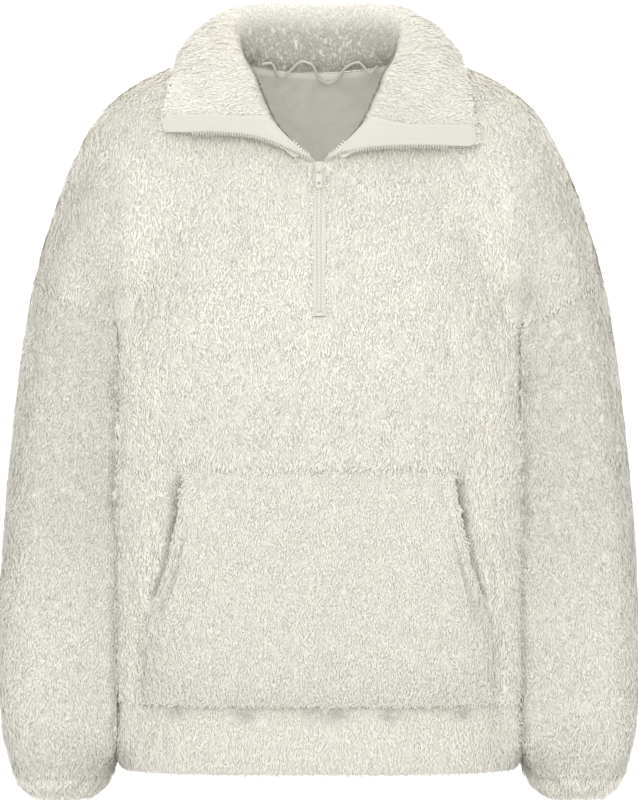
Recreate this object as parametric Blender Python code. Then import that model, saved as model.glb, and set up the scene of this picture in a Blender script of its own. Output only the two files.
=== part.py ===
"""Half-zip sherpa fleece pullover, filled out and hollow, with its collar folded open.

Metres. The front faces -Y, up is +Z, and the wearer's left is +X. The origin lies between
the shoulders, 20 mm below the neck ends of the shoulder seams. One field gives the outer
surface of the trunk and the upper arms, and every panel is a wall laid on that surface.
"""
import math

import bmesh
import bpy
import numpy as np
from mathutils import Matrix, Vector
from mathutils.bvhtree import BVHTree

# Driving sizes
clothWall = 0.006          # backing and combed pile together
collarWall = 0.0075        # two layers of fleece
seamGap = 0.0003
halfGap = seamGap / 2
hemSeamZ = -0.6215
hemEdgeZ = -0.689
armpitZ = -0.257
armpitX = 0.2006
armholeTopX = 0.2845
armholeSlope = 0.60        # rise of the drop-shoulder seam for each metre outwards
slitHalf = 0.0075
zipBottomZ = -0.2445
cuffEdgeZ = -0.718
gatherRise = 0.0018
creaseReach = 0.040        # how far from the armpit the cloth bridges the crease
underarmReach = 0.022      # and how far it faces down

# Zip
tapeThick = 0.0012
tapeSink = 0.0032          # closed tape below the fleece's outer surface
chainWide = 0.0046
chainThick = 0.0024
sliderWide = 0.0062
sliderTall = 0.0125
sliderThick = 0.0042
sliderZ = -0.1015
tabWide = 0.0060
tabTall = 0.0190
tabThick = 0.0014
toothRadius = 0.0013
pipingRadius = 0.0014


def table(columns, *rows):
    """A short table: each named column as an array."""
    return {name: np.array([row[i] for row in rows], float) for i, name in enumerate(columns)}


# Level rings of the trunk: half width, depths in front and behind, and how square they are
trunk = table(
    ("z", "half", "front", "back", "power"),
    (-0.6890, 0.1985, 0.1390, 0.1270, 3.2),
    (-0.6215, 0.1965, 0.1385, 0.1265, 3.2),
    (-0.6000, 0.1985, 0.1450, 0.1320, 3.2),
    (-0.5600, 0.1990, 0.1490, 0.1350, 3.2),
    (-0.4500, 0.1985, 0.1480, 0.1340, 3.2),
    (-0.3500, 0.1980, 0.1450, 0.1310, 3.1),
    (-0.2570, 0.1975, 0.1390, 0.1280, 2.8),
    (-0.2000, 0.1940, 0.1350, 0.1260, 2.5),
    (-0.1500, 0.1920, 0.1290, 0.1220, 2.4),
    (-0.1000, 0.1890, 0.1160, 0.1130, 2.3),
    (-0.0600, 0.1850, 0.0970, 0.1010, 2.3),
    (-0.0300, 0.1780, 0.0790, 0.0860, 2.3),
    (-0.0050, 0.1640, 0.0600, 0.0680, 2.3),
    (0.0030, 0.1450, 0.0520, 0.0600, 2.3),
    (0.0120, 0.1180, 0.0410, 0.0490, 2.3),
    (0.0200, 0.0900, 0.0300, 0.0370, 2.3),
    (0.0260, 0.0650, 0.0220, 0.0280, 2.3),
)

# Level rings of the arm, from the cuff's seam to the shoulder's top; it hangs a little forward
arm = table(
    ("z", "outer", "inner", "centre_y", "half_y", "power"),
    (-0.697, 0.2950, 0.2090, -0.018, 0.046, 2.2),
    (-0.688, 0.3040, 0.2030, -0.020, 0.055, 2.3),
    (-0.672, 0.3110, 0.2012, -0.022, 0.064, 2.5),
    (-0.640, 0.3165, 0.2016, -0.024, 0.070, 2.7),
    (-0.580, 0.3185, 0.2022, -0.024, 0.074, 2.7),
    (-0.480, 0.3155, 0.2022, -0.022, 0.078, 2.7),
    (-0.380, 0.3075, 0.2016, -0.017, 0.082, 2.7),
    (-0.300, 0.2990, 0.2008, -0.009, 0.086, 2.6),
    (-0.257, 0.2935, 0.2006, -0.003, 0.088, 2.5),
    (-0.205, 0.2840, 0.1800, 0.001, 0.090, 2.3),
    (-0.145, 0.2680, 0.1500, 0.002, 0.090, 2.2),
    (-0.105, 0.2540, 0.1300, 0.002, 0.086, 2.2),
    (-0.065, 0.2355, 0.1200, 0.002, 0.077, 2.2),
    (-0.045, 0.2230, 0.1180, 0.002, 0.068, 2.2),
    (-0.028, 0.2060, 0.1180, 0.002, 0.056, 2.2),
    (-0.014, 0.1860, 0.1200, 0.002, 0.038, 2.2),
    (-0.006, 0.1650, 0.1250, 0.002, 0.020, 2.2),
)

# Soft folds on both sides: a rise along a line, fading over its width
folds = table(
    ("x1", "y1", "z1", "x2", "y2", "z2", "width", "rise"),
    (0.176, -0.100, -0.300, 0.120, -0.140, -0.360, 0.022, 0.003),
    (0.190, -0.060, -0.320, 0.184, -0.070, -0.560, 0.020, -0.002),
    (0.100, -0.140, -0.590, 0.165, -0.110, -0.570, 0.014, 0.003),
    (0.170, 0.100, -0.300, 0.110, 0.130, -0.450, 0.024, 0.004),
    (0.060, 0.130, -0.160, 0.130, 0.120, -0.260, 0.026, 0.003),
    (0.030, 0.135, -0.560, 0.120, 0.120, -0.590, 0.018, 0.004),
    (0.225, -0.095, -0.400, 0.290, -0.078, -0.370, 0.018, -0.004),
    (0.230, -0.098, -0.455, 0.300, -0.070, -0.490, 0.018, -0.004),
    (0.240, 0.055, -0.430, 0.305, 0.034, -0.410, 0.020, 0.004),
    (0.230, -0.092, -0.600, 0.300, -0.076, -0.570, 0.020, -0.003),
    (0.250, -0.088, -0.640, 0.290, -0.074, -0.665, 0.016, 0.003),
    (0.245, 0.045, -0.560, 0.300, 0.034, -0.620, 0.022, -0.004),
    (0.200, -0.085, -0.130, 0.250, -0.070, -0.190, 0.022, 0.003),
)

# The body's neck edge, from the middle outwards behind and from the side neck inwards in front
neckBack = table(("x", "z"), (0.0, 0.0085), (0.030, 0.0095), (0.060, 0.0135), (0.080, 0.0180))
neckSide = (0.0880, 0.0205)
neckFront = table(
    ("x", "z"),
    (0.0787, 0.0098), (0.0659, -0.0206), (0.0526, -0.0516), (0.0390, -0.0733),
    (0.0222, -0.0910), (0.0075, -0.1020),
)

# The collar, from the centre back (t 0) past the side neck (t sideT) to the zip (t 1): where it
# rolls over, half way down its fall, and its free edge. The wearer's left lapel drops lower.
sideT = 0.42
collarRows = table(
    ("t", "roll_x", "roll_y", "roll_z", "fall_x", "fall_y", "fall_z", "edge_x", "edge_y", "edge_z", "drop"),
    (0.00, 0.000, 0.0600, 0.0725, 0.000, 0.078, 0.0480, 0.000, 0.084, 0.0120, 0.0),
    (0.14, 0.042, 0.0570, 0.0735, 0.049, 0.075, 0.0500, 0.053, 0.081, 0.0130, 0.0),
    (0.26, 0.076, 0.0475, 0.0705, 0.092, 0.061, 0.0560, 0.103, 0.069, 0.0190, 0.0),
    (0.36, 0.0875, 0.0240, 0.0540, 0.116, 0.034, 0.0510, 0.132, 0.042, 0.0190, 0.0),
    (0.46, 0.0850, -0.004, 0.0350, 0.120, -0.004, 0.0370, 0.1415, -0.004, 0.0140, 0.0),
    (0.58, 0.0765, -0.040, 0.0115, 0.112, -0.048, 0.0080, 0.1435, -0.045, -0.0060, 0.001),
    (0.70, 0.0595, -0.076, -0.0175, 0.102, -0.082, -0.0200, 0.148, -0.074, -0.0240, 0.006),
    (0.84, 0.0440, -0.104, -0.0520, 0.090, -0.108, -0.0410, 0.153, -0.090, -0.0420, 0.013),
    (1.00, 0.0180, -0.124, -0.0795, 0.070, -0.124, -0.0600, 0.155, -0.098, -0.0600, 0.016),
)
turnRadius = 0.0052        # of the lapel's roll over the body's neck edge
neckStopX = 0.0222         # the collar ends this far beside the zip
rollRow = 5                # row of the collar's grid on the roll
tailX = 0.0058             # the open tapes end beside and over the slider
tailZ = -0.0905
tailBulge = 0.016
stripT = 0.84              # the zip's tape covers the lapel from here to its end

# Columns and rows of the front: the pocket is cut from their points
pocketLine = table(
    ("z", "edge"),
    (-0.6215, 0.1725), (-0.5750, 0.1720), (-0.5240, 0.1670), (-0.4900, 0.1550), (-0.4450, 0.1425),
    (-0.3900, 0.1335), (-0.3000, 0.1310), (-0.2570, 0.1300),
)
frontHeights = (-0.6215, -0.606, -0.585, -0.555, -0.524, -0.480, -0.435, -0.390, -0.345, -0.300, -0.257)
backHeights = (-0.6215, -0.585, -0.524, -0.435, -0.345, -0.300, -0.257)
pocketOpenRow = 4          # lower ends of the pocket's openings
pocketTopRow = 7
pocketCells = 7            # half the pocket, across
sideCells = 6              # from the pocket's edge to the side seam
armholeCells = 14
pocketMiddleLift = 0.004
pocketMouthLift = 0.011


def along(rows, column, at, key="z"):
    """Monotone cubic through a column of a table, read at any values of its key."""
    x, y = rows[key], rows[column]
    at = np.clip(at, x[0], x[-1])
    step = np.diff(x)
    slope = np.diff(y) / step
    a, b = slope[:-1], slope[1:]
    same = a * b > 0
    inner = np.where(same, 2 * a * b / np.where(same, a + b, 1), 0)
    tangent = np.concatenate([slope[:1], inner, slope[-1:]])
    i = np.clip(np.searchsorted(x, at) - 1, 0, len(step) - 1)
    h = step[i]
    t = (at - x[i]) / h
    return ((1 + 2 * t) * (1 - t) ** 2 * y[i] + t * (1 - t) ** 2 * h * tangent[i]
            + t * t * (3 - 2 * t) * y[i + 1] + t * t * (t - 1) * h * tangent[i + 1])


def smoothStep(value):
    """Zero to one with level ends."""
    value = np.clip(value, 0, 1)
    return value * value * (3 - 2 * value)


def unit(vectors):
    """The same directions at length one."""
    return vectors / np.maximum(np.linalg.norm(vectors, axis=-1, keepdims=True), 1e-12)


def armholeZ(x):
    """Height of the tilted armhole plane at a distance from the middle."""
    return armpitZ + armholeSlope * (np.abs(x) - armpitX)


def superRing(x, y, half, deep, power):
    """Rough signed distance from a superellipse."""
    radius = (np.abs(x / half) ** power + np.abs(y / deep) ** power) ** (1 / power)
    return (radius - 1) * np.minimum(half, deep)


def trunkField(points):
    """Negative inside the trunk."""
    x, y, z = np.abs(points[..., 0]), points[..., 1], points[..., 2]
    deep = np.where(y < 0, along(trunk, "front", z), along(trunk, "back", z))
    inside = superRing(x, y, along(trunk, "half", z), deep, along(trunk, "power", z))
    return inside + np.maximum(z - trunk["z"][-1], 0)


def armField(points):
    """Negative inside either arm."""
    x, y, z = np.abs(points[..., 0]), points[..., 1], points[..., 2]
    outer, inner = along(arm, "outer", z), along(arm, "inner", z)
    across, deep = x - (outer + inner) / 2, y - along(arm, "centre_y", z)
    inside = superRing(across, deep, (outer - inner) / 2, along(arm, "half_y", z), along(arm, "power", z))
    return inside + np.maximum(z - arm["z"][-1], 0)


def bodyField(points):
    """Negative inside trunk and arms, which blend more the higher they are over the armhole."""
    body, limb = trunkField(points), armField(points)
    blend = 0.0005 + 0.040 * smoothStep((points[..., 2] - armholeZ(points[..., 0])) / 0.07)
    mix = np.clip(0.5 + 0.5 * (body - limb) / blend, 0, 1)
    return body + (limb - body) * mix - blend * mix * (1 - mix)


def gradient(points, shape):
    """Slope of a field."""
    step = 0.0005
    parts = []
    for axis in range(3):
        shift = np.zeros(3)
        shift[axis] = step
        parts.append((shape(points + shift) - shape(points - shift)) / (2 * step))
    return np.stack(parts, axis=-1)


def bisect(inside, low, high):
    """Largest values between low and high for which inside holds."""
    for _ in range(28):
        middle = (low + high) / 2
        holds = inside(middle)
        low, high = np.where(holds, middle, low), np.where(holds, high, middle)
    return low


def depth(x, z, face):
    """Points of the body's surface at x and z, in front (face -1) or behind (face 1)."""
    x, z = np.broadcast_arrays(np.asarray(x, float), np.asarray(z, float))
    y = bisect(lambda d: bodyField(np.stack([x, face * d, z], axis=-1)) < 0,
               np.zeros(x.shape), np.full(x.shape, 0.22))
    return np.stack([x, face * y, z], axis=-1)


def ridgeZ(x):
    """Height of the shoulder line over the middle plane between front and back."""
    x = np.asarray(x, float)
    return bisect(lambda z: bodyField(np.stack([x, 0 * x, z], axis=-1)) < 0,
                  np.full(x.shape, -0.21), np.full(x.shape, 0.03))


def drape(points):
    """How far the soft folds, and the gathers over the hem, lift the cloth."""
    folded = points.copy()
    folded[..., 0] = np.abs(folded[..., 0])
    lift = np.zeros(points.shape[:-1])
    for row in range(len(folds["rise"])):
        start = np.array([folds[name][row] for name in ("x1", "y1", "z1")])
        span = np.array([folds[name][row] for name in ("x2", "y2", "z2")]) - start
        share = np.clip(((folded - start) @ span) / (span @ span), 0, 1)
        away = np.linalg.norm(folded - start - share[..., None] * span, axis=-1)
        lift += folds["rise"][row] * np.exp(-(away / folds["width"][row]) ** 2)
    near = np.exp(-((points[..., 2] - hemSeamZ) / 0.022) ** 2) * (folded[..., 0] < armpitX)
    around = np.arctan2(points[..., 1], points[..., 0])
    return lift + gatherRise * near * np.cos(14 * around + 0.9 * np.sin(3 * around))


def nearArmpit(points, reach):
    """One at either armpit, fading to zero over a reach."""
    away = np.stack([np.abs(points[..., 0]) - armpitX, points[..., 1], points[..., 2] - armpitZ], axis=-1)
    return np.exp(-(np.linalg.norm(away, axis=-1, keepdims=True) / reach) ** 2)


def layers(points, out):
    """Outer and inner sides of cloth on a surface. Its outer side faces down under each arm."""
    near = nearArmpit(points, underarmReach)
    out = unit(out * (1 - near) + np.array([0, 0, -1]) * near)
    lift = drape(points)[..., None]
    return points + out * lift, points + out * (lift - clothWall)


def material(name, colour, roughness=0.9, metallic=0.0):
    """A plain Principled material."""
    made = bpy.data.materials.get(name) or bpy.data.materials.new(name)
    made.use_nodes = True
    shader = made.node_tree.nodes["Principled BSDF"]
    shader.inputs["Base Color"].default_value = (*colour, 1)
    shader.inputs["Roughness"].default_value = roughness
    shader.inputs["Metallic"].default_value = metallic
    return made


def addMesh(name, mesh, look):
    """Turn a bmesh into an object of the garment, with its faces pointing out."""
    bmesh.ops.recalc_face_normals(mesh, faces=mesh.faces)
    data = bpy.data.meshes.new(name)
    mesh.to_mesh(data)
    mesh.free()
    data.shade_smooth()
    data.set_sharp_from_angle(angle=math.radians(50))
    data.materials.append(look)
    made = bpy.data.objects.new(name, data)
    bpy.data.collections["sherpa_fleece_pullover"].objects.link(made)
    return made


def addWall(name, outer, inner, look, closed=False, keep=None):
    """Loft a wall between an outer and an inner grid. keep marks the cells that have cloth."""
    rows, columns = outer.shape[:2]
    if keep is None:
        keep = np.ones((rows - 1, columns if closed else columns - 1), bool)
    mesh = bmesh.new()
    corners = [{}, {}]
    rim = {}
    for i, j in zip(*np.nonzero(keep)):
        loop = [(i, j), (i, (j + 1) % columns), (i + 1, (j + 1) % columns), (i + 1, j)]
        for side, grid in enumerate((outer, inner)):
            for corner in loop:
                if corner not in corners[side]:
                    corners[side][corner] = mesh.verts.new(grid[corner])
            mesh.faces.new([corners[side][corner] for corner in (loop if side else loop[::-1])])
        for start, end in zip(loop, loop[1:] + loop[:1]):
            if rim.pop((end, start), None) is None:
                rim[start, end] = True
    for start, end in rim:
        mesh.faces.new([corners[0][start], corners[0][end], corners[1][end], corners[1][start]])
    bmesh.ops.triangulate(mesh, faces=mesh.faces, quad_method="SHORT_EDGE")
    return addMesh(name, mesh, look)


def mirrored(grid):
    """The same grid on the other side of the middle plane."""
    other = grid.copy()
    other[..., 0] *= -1
    return other


def bothSides(half):
    """Join a half grid, whose last column is the middle, with its mirror image."""
    return np.concatenate([half, mirrored(half[:, -2::-1])], axis=1)


# ---- front and back ----

def armholeXs():
    """Distances from the middle along half an armhole, from the armpit to its top."""
    turn = np.linspace(0, math.pi, armholeCells + 1)
    return armpitX + (armholeTopX - armpitX) * (1 - np.cos(turn)) / 2


def resample(points, count):
    """Points at even lengths along an open line."""
    length = np.concatenate([[0], np.cumsum(np.linalg.norm(np.diff(points, axis=0), axis=1))])
    at = np.linspace(0, length[-1], count)
    return np.stack([np.interp(at, length, points[:, k]) for k in range(points.shape[1])], axis=-1)


def neckLine(face):
    """The neck edge in x and z, from the side neck to the middle, in front or behind."""
    rows = neckFront if face < 0 else {name: neckBack[name][::-1] for name in neckBack}
    points = np.concatenate([[neckSide], np.stack([rows["x"], rows["z"]], axis=-1)])
    knots = {"t": np.linspace(0, 1, len(points)), "x": points[:, 0], "z": points[:, 1]}
    fine = np.linspace(0, 1, 60)
    return np.stack([along(knots, "x", fine, "t"), along(knots, "z", fine, "t")], axis=-1)


def topLine(face, shoulderCells, neckCells):
    """Shoulder seam and neck edge in x and z, from the armhole's top inwards."""
    turn = np.linspace(0, math.pi / 2, 60)
    xs = armholeTopX + (neckSide[0] - armholeTopX) * (1 - np.cos(turn))
    shoulder = resample(np.stack([xs, ridgeZ(xs)], axis=-1), shoulderCells + 1)
    shoulder[:, 1] = ridgeZ(shoulder[:, 0])
    shoulder[0] = armholeTopX, armholeZ(armholeTopX)
    if face > 0:
        return np.concatenate([shoulder[:-1], resample(neckLine(face), neckCells + 1)])
    neck = resample(neckLine(face), neckCells)
    return np.concatenate([shoulder[:-1], neck, neck[-1:] * (0, 1)])


def lowerRows(heights, inside, outside):
    """Rows of a half panel below the armpit, side seam first, with a column on the pocket's edge."""
    rows = []
    for z in heights:
        half, edge = along(trunk, "half", z), along(pocketLine, "edge", z)
        side = half * np.cos(np.linspace(0, math.acos(edge / half), outside + 1))
        x = np.concatenate([side, edge * np.linspace(1, 0, inside + 1)[1:]])
        rows.append(np.stack([x, np.full(x.shape, z)], axis=-1))
    return np.array(rows)


def upperPatch(bottom, top, middle):
    """Blend the four edges of a half panel over the armpit, in x and z."""
    xs = armholeXs()
    side = np.stack([xs, armholeZ(xs)], axis=-1)
    u = np.linspace(0, 1, len(bottom))[None, :, None]
    v = np.linspace(0, 1, armholeCells + 1)[:, None, None]
    corners = ((1 - u) * (1 - v) * bottom[0] + u * (1 - v) * bottom[-1]
               + (1 - u) * v * top[0] + u * v * top[-1])
    return (1 - v) * bottom + v * top + (1 - u) * side[:, None] + u * middle[:, None] - corners


def panel(face, heights, inside, outside, neckCells, middleZ):
    """Points of a whole panel, rows from the hem up, columns from the wearer's left."""
    lower = lowerRows(heights, inside, outside)
    top = topLine(face, inside + outside - neckCells, neckCells)
    bottom = lower[-1].copy()
    bottom[0] = armpitX, armpitZ
    upper = upperPatch(bottom, top, np.stack([0 * middleZ, middleZ], axis=-1))
    half = np.concatenate([lower, upper[1:]])
    if face < 0:
        half[len(heights):, -2, 0] = slitHalf
        half[len(heights):, -2, 1] = middleZ[1:]
    flat = bothSides(half)
    points = depth(np.abs(flat[..., 0]), flat[..., 1], face)
    points[..., 0] = flat[..., 0]
    return points


def relax(grid):
    """Let the cloth bridge the tight crease beside each armpit."""
    for _ in range(18):
        inner = grid[1:-1, 1:-1]
        around = (grid[2:, 1:-1] + grid[:-2, 1:-1] + grid[1:-1, 2:] + grid[1:-1, :-2]) / 4
        grid[1:-1, 1:-1] = inner + nearArmpit(inner, creaseReach) * (around - inner)


def panelLayers(points, face):
    """Outer and inner grids of a panel, drawn back from its seams by half a gap."""
    seams = np.zeros(points.shape[:2], bool)
    seams[:-armholeCells, [0, -1]] = True
    seams[-1] = np.abs(points[-1, :, 0]) >= neckSide[0] - halfGap
    relax(points)
    near = nearArmpit(points, creaseReach)
    across = unit(np.cross(np.gradient(points, axis=0), np.gradient(points, axis=1)))
    across *= face * np.sign(across[0, points.shape[1] // 2, 1])
    grids = layers(points, unit(unit(gradient(points, bodyField)) * (1 - near) + across * near))
    for grid in grids:
        relax(grid)
        grid[..., 1] = np.where(seams, face * halfGap, face * np.maximum(face * grid[..., 1], halfGap))
        grid[0, :, 2] = hemSeamZ + halfGap
        upper = grid[-armholeCells - 1:]
        upper[..., 2] = np.maximum(upper[..., 2], armholeZ(upper[..., 0]) + seamGap)
    return grids


def makeFront(look):
    """The front, slit for the zip. Returns its outer points and their outward directions."""
    middleZ = np.concatenate([[armpitZ], np.linspace(zipBottomZ, neckFront["z"][-1], armholeCells)])
    points = panel(-1, frontHeights, pocketCells, sideCells, 6, middleZ)
    outer, inner = panelLayers(points, -1)
    keep = np.ones((points.shape[0] - 1, points.shape[1] - 1), bool)
    middle = points.shape[1] // 2
    keep[len(frontHeights):, middle - 1:middle + 1] = False
    addWall("front", outer, inner, look, keep=keep)
    return outer, inner


def makeBack(look):
    """The back, in one piece."""
    middleZ = np.linspace(armpitZ, neckBack["z"][0], armholeCells + 1)
    outer, inner = panelLayers(panel(1, backHeights, 6, sideCells, 4, middleZ), 1)
    addWall("back", outer, inner, look)
    return outer, inner


def makePocket(outer, inner, look):
    """Kangaroo pocket: the front's own points moved out, sewn down but for its slanted mouths."""
    out = unit(outer - inner)
    middle = outer.shape[1] // 2
    block = (slice(0, pocketTopRow + 1), slice(middle - pocketCells, middle + pocketCells + 1))
    base, away = outer[block], out[block]
    across = np.abs(np.linspace(-1, 1, base.shape[1]))[None, :]
    row = np.arange(base.shape[0])[:, None]
    mouth = np.clip((row - pocketOpenRow) / (pocketTopRow - pocketOpenRow), 0, 1)
    gaping = np.sin(math.pi * mouth) * smoothStep((across - 0.45) / 0.5)
    pouch = np.sin(math.pi * row / pocketTopRow) * (1 - across ** 4)
    lift = 2 * seamGap + pocketMiddleLift * pouch + pocketMouthLift * gaping
    under = base + away * lift[..., None]
    over = under + away * clothWall
    for grid in (under, over):
        grid[0, :, 2] = hemSeamZ + halfGap
    addWall("pocket", over, under, look)


# ---- sleeves, cuffs and hem band ----

def sleeveRings():
    """Rings of the wearer's left sleeve, from the tilted armhole down to the level cuff seam."""
    turn = np.linspace(0, 2 * math.pi, 2 * armholeCells, endpoint=False)
    face = np.where(np.sin(turn) >= 0, -1.0, 1.0)
    rings = []
    for drop in (0, 0.024, 0.054, 0.090, 0.130, 0.175, 0.220, 0.265, 0.310, 0.350, 0.385, 0.411, 0.429, 0.440):
        slope = armholeSlope * (1 - smoothStep(drop / 0.2))
        x = np.full(turn.shape, 0.25)
        for _ in range(40):
            z = armpitZ - drop + slope * (x - armpitX)
            outer, inner = along(arm, "outer", z), along(arm, "inner", z)
            x = (x + (outer + inner) / 2 - (outer - inner) / 2 * np.cos(turn)) / 2
        if drop == 0:
            half = armholeXs()
            x = np.concatenate([half, half[-2:0:-1]])
            z = armholeZ(x)
            outer, inner = along(arm, "outer", z), along(arm, "inner", z)
        across = np.clip(np.abs(2 * x - outer - inner) / (outer - inner), 0, 1)
        power = along(arm, "power", z)
        deep = along(arm, "half_y", z) * (1 - across ** power) ** (1 / power)
        rings.append(np.stack([x, along(arm, "centre_y", z) + face * deep, z], axis=-1))
    return np.array(rings)


def makeSleeves(look):
    """Both sleeves, between the armholes and the cuffs."""
    rings = sleeveRings()
    outer, inner = layers(rings, unit(gradient(rings, armField)))
    for grid in (outer, inner):
        grid[0, :, 2] = np.minimum(grid[0, :, 2], armholeZ(grid[0, :, 0]) - halfGap)
        grid[-1, :, 2] = arm["z"][0] + halfGap
    addWall("sleeve_left", outer, inner, look, closed=True)
    addWall("sleeve_right", mirrored(outer), mirrored(inner), look, closed=True)


def bandRings(heights, halfX, halfY, centre, power, count, waves, rise, wall):
    """Outer and inner grids of a level band whose outer side is gathered."""
    turn = np.linspace(0, 2 * math.pi, count, endpoint=False)
    circle = np.stack([np.cos(turn), np.sin(turn)], axis=-1)
    ring = np.sign(circle) * np.abs(circle) ** (2 / power)
    wave = np.cos(waves * turn + 0.9 * np.sin(3 * turn))[:, None]
    outer, inner = [], []
    for z, x, y, lift, trim in zip(heights, halfX, halfY, rise, wall):
        deep = np.where(circle[:, 1] < 0, y[0], y[1])[:, None]
        halves = np.concatenate([np.full((count, 1), x), deep], axis=1)
        flat = ring * halves
        away = unit(flat / halves ** 2)
        level = np.full((count, 1), z)
        outer.append(np.concatenate([centre + flat + away * (lift * wave - trim[0]), level], axis=1))
        inner.append(np.concatenate([centre + flat - away * (clothWall - trim[1]), level], axis=1))
    return np.array(outer), np.array(inner)


def makeHemBand(look):
    """Self-fabric band, gathered on its elastic, with a rounded lower edge."""
    heights = (hemSeamZ - halfGap, -0.632, -0.650, -0.670, -0.684, hemEdgeZ)
    halfX = [along(trunk, "half", z) for z in heights]
    halfY = [(along(trunk, "front", z), along(trunk, "back", z)) for z in heights]
    rise = (0.0010, 0.0015, 0.0010, 0.0006, 0.0004, 0.0)
    trim = ((0, 0), (0, 0), (0, 0), (0, 0), (0.0005, 0.0003), (0.0022, 0.0018))
    outer, inner = bandRings(heights, halfX, halfY, np.zeros(2), trunk["power"][0], 72, 14, rise, trim)
    addWall("hem_band", outer, inner, look, closed=True)


def makeCuffs(look):
    """Gathered cuffs under the sleeves' full ends."""
    heights = (arm["z"][0] - halfGap, -0.703, -0.709, -0.7145, cuffEdgeZ)
    half = (arm["outer"][0] - arm["inner"][0]) / 2
    centre = np.array([(arm["outer"][0] + arm["inner"][0]) / 2, arm["centre_y"][0]])
    halfX = [half - 0.0005, half + 0.0005, half + 0.001, half + 0.0005, half - 0.0005]
    halfY = [(x + 0.003, x + 0.003) for x in halfX]
    rise = (0.0008, 0.0014, 0.0012, 0.0008, 0.0)
    trim = ((0, 0), (0, 0), (0, 0), (0.0004, 0.0003), (0.0022, 0.0018))
    outer, inner = bandRings(heights, halfX, halfY, centre, 2.1, 44, 11, rise, trim)
    addWall("cuff_left", outer, inner, look, closed=True)
    addWall("cuff_right", mirrored(outer), mirrored(inner), look, closed=True)


# ---- collar ----

def neckRim(front, back):
    """The body's neck edge on the wearer's left, outer and inner, from the centre back to the zip."""
    lines = []
    for frontGrid, backGrid in zip(front, back):
        behind = backGrid[-1, :backGrid.shape[1] // 2 + 1]
        before = frontGrid[-1, :frontGrid.shape[1] // 2]
        behind = behind[np.abs(behind[:, 0]) < neckSide[0] + seamGap][::-1]
        before = before[np.abs(before[:, 0]) < neckSide[0] + seamGap]
        lines.append((behind, before))
    return lines


def neckPoints(ts, rims):
    """The collar's stations on the neck edge: outer and inner points, and the way into the opening."""
    (behind, before), (behindIn, beforeIn) = rims
    backRun = np.concatenate([[0], np.cumsum(np.linalg.norm(np.diff(behind, axis=0), axis=1))])
    frontRun = np.concatenate([[0], np.cumsum(np.linalg.norm(np.diff(before, axis=0), axis=1))])
    stop = np.interp(-neckStopX, -before[:, 0], frontRun)
    backAt = np.clip(ts / sideT, 0, 1) * backRun[-1]
    frontAt = np.clip((ts - sideT) / (1 - sideT), 0, 1) * stop
    sides = []
    for back, front in ((behind, before), (behindIn, beforeIn)):
        places = [np.interp(backAt, backRun, back[:, k]) for k in range(3)]
        ahead = [np.interp(frontAt, frontRun, front[:, k]) for k in range(3)]
        sides.append(np.where((ts < sideT)[:, None], np.stack(places, axis=-1), np.stack(ahead, axis=-1)))
    out = unit(sides[0] - sides[1])
    inboard = unit(np.cross(np.gradient(sides[0], axis=0), out))
    middle = np.array([0, -0.03, 0.03])
    inboard *= np.sign(np.sum(inboard * (middle - sides[0]), axis=1, keepdims=True))
    return sides[0] + inboard * seamGap, sides[1] + inboard * seamGap, out, inboard


def restOn(points, need, hold):
    """Move points out to a clearance from the body; hold 1 also draws in those that float."""
    for _ in range(4):
        slope = gradient(points, bodyField)
        distance = bodyField(points) / np.maximum(np.linalg.norm(slope, axis=-1), 0.2)
        lack = need + drape(points) - distance
        lack = np.where(lack > 0, lack, lack * hold)
        points = points + unit(slope) * lack[..., None]
    return points


def hermite(start, end, leave, arrive, count):
    """Points of a cubic with given end tangents, without its first point."""
    t = np.linspace(0, 1, count + 1)[1:, None, None]
    return ((1 + 2 * t) * (1 - t) ** 2 * start + t * (1 - t) ** 2 * leave
            + t * t * (3 - 2 * t) * end + t * t * (t - 1) * arrive)


def size(vectors):
    """Lengths, kept as a column."""
    return np.linalg.norm(vectors, axis=-1, keepdims=True)


def collarHalf(ts, rims, lowered):
    """Half of the collar: middle points, and the first row's outer and inner points."""
    rim, rimInner, out, inboard = neckPoints(ts, rims)
    roll, fall, edge = (np.stack([along(collarRows, f"{part}_{axis}", ts, "t") for axis in "xyz"], axis=-1)
                        for part in ("roll", "fall", "edge"))
    drop = along(collarRows, "drop", ts, "t") * lowered
    fall[:, 2] -= drop * 0.85
    edge[:, 2] -= drop
    front = smoothStep((ts - 0.46) / 0.2)
    start = (rim + rimInner) / 2
    roll = roll + (start + out * 2 * turnRadius - roll) * front[:, None]
    half = collarWall / 2
    fall = restOn(fall, half + 0.0055, front)
    edge = restOn(edge, half + 0.0018, front)
    rise, over, down = size(roll - start), size(fall - roll), size(edge - fall)
    reach = 0.9 * rise + 0.0080
    turn = unit(fall - start)
    slant = unit(edge - roll)
    angle = np.linspace(0, math.pi, rollRow + 1)[1:, None, None]
    arc = start + (inboard * np.sin(angle) + out * (1 - np.cos(angle))) * turnRadius
    stand = hermite(start, roll, inboard * reach, turn * reach, rollRow)
    path = np.concatenate([
        start[None],
        stand + (arc - stand) * front[:, None],
        hermite(roll, fall, turn * over, slant * over, 3),
        hermite(fall, edge, slant * down, unit(edge - fall) * down, 3),
    ])
    path[rollRow + 1:] = restOn(path[rollRow + 1:], half + 0.0016, 0)
    return path, rim, rimInner


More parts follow.
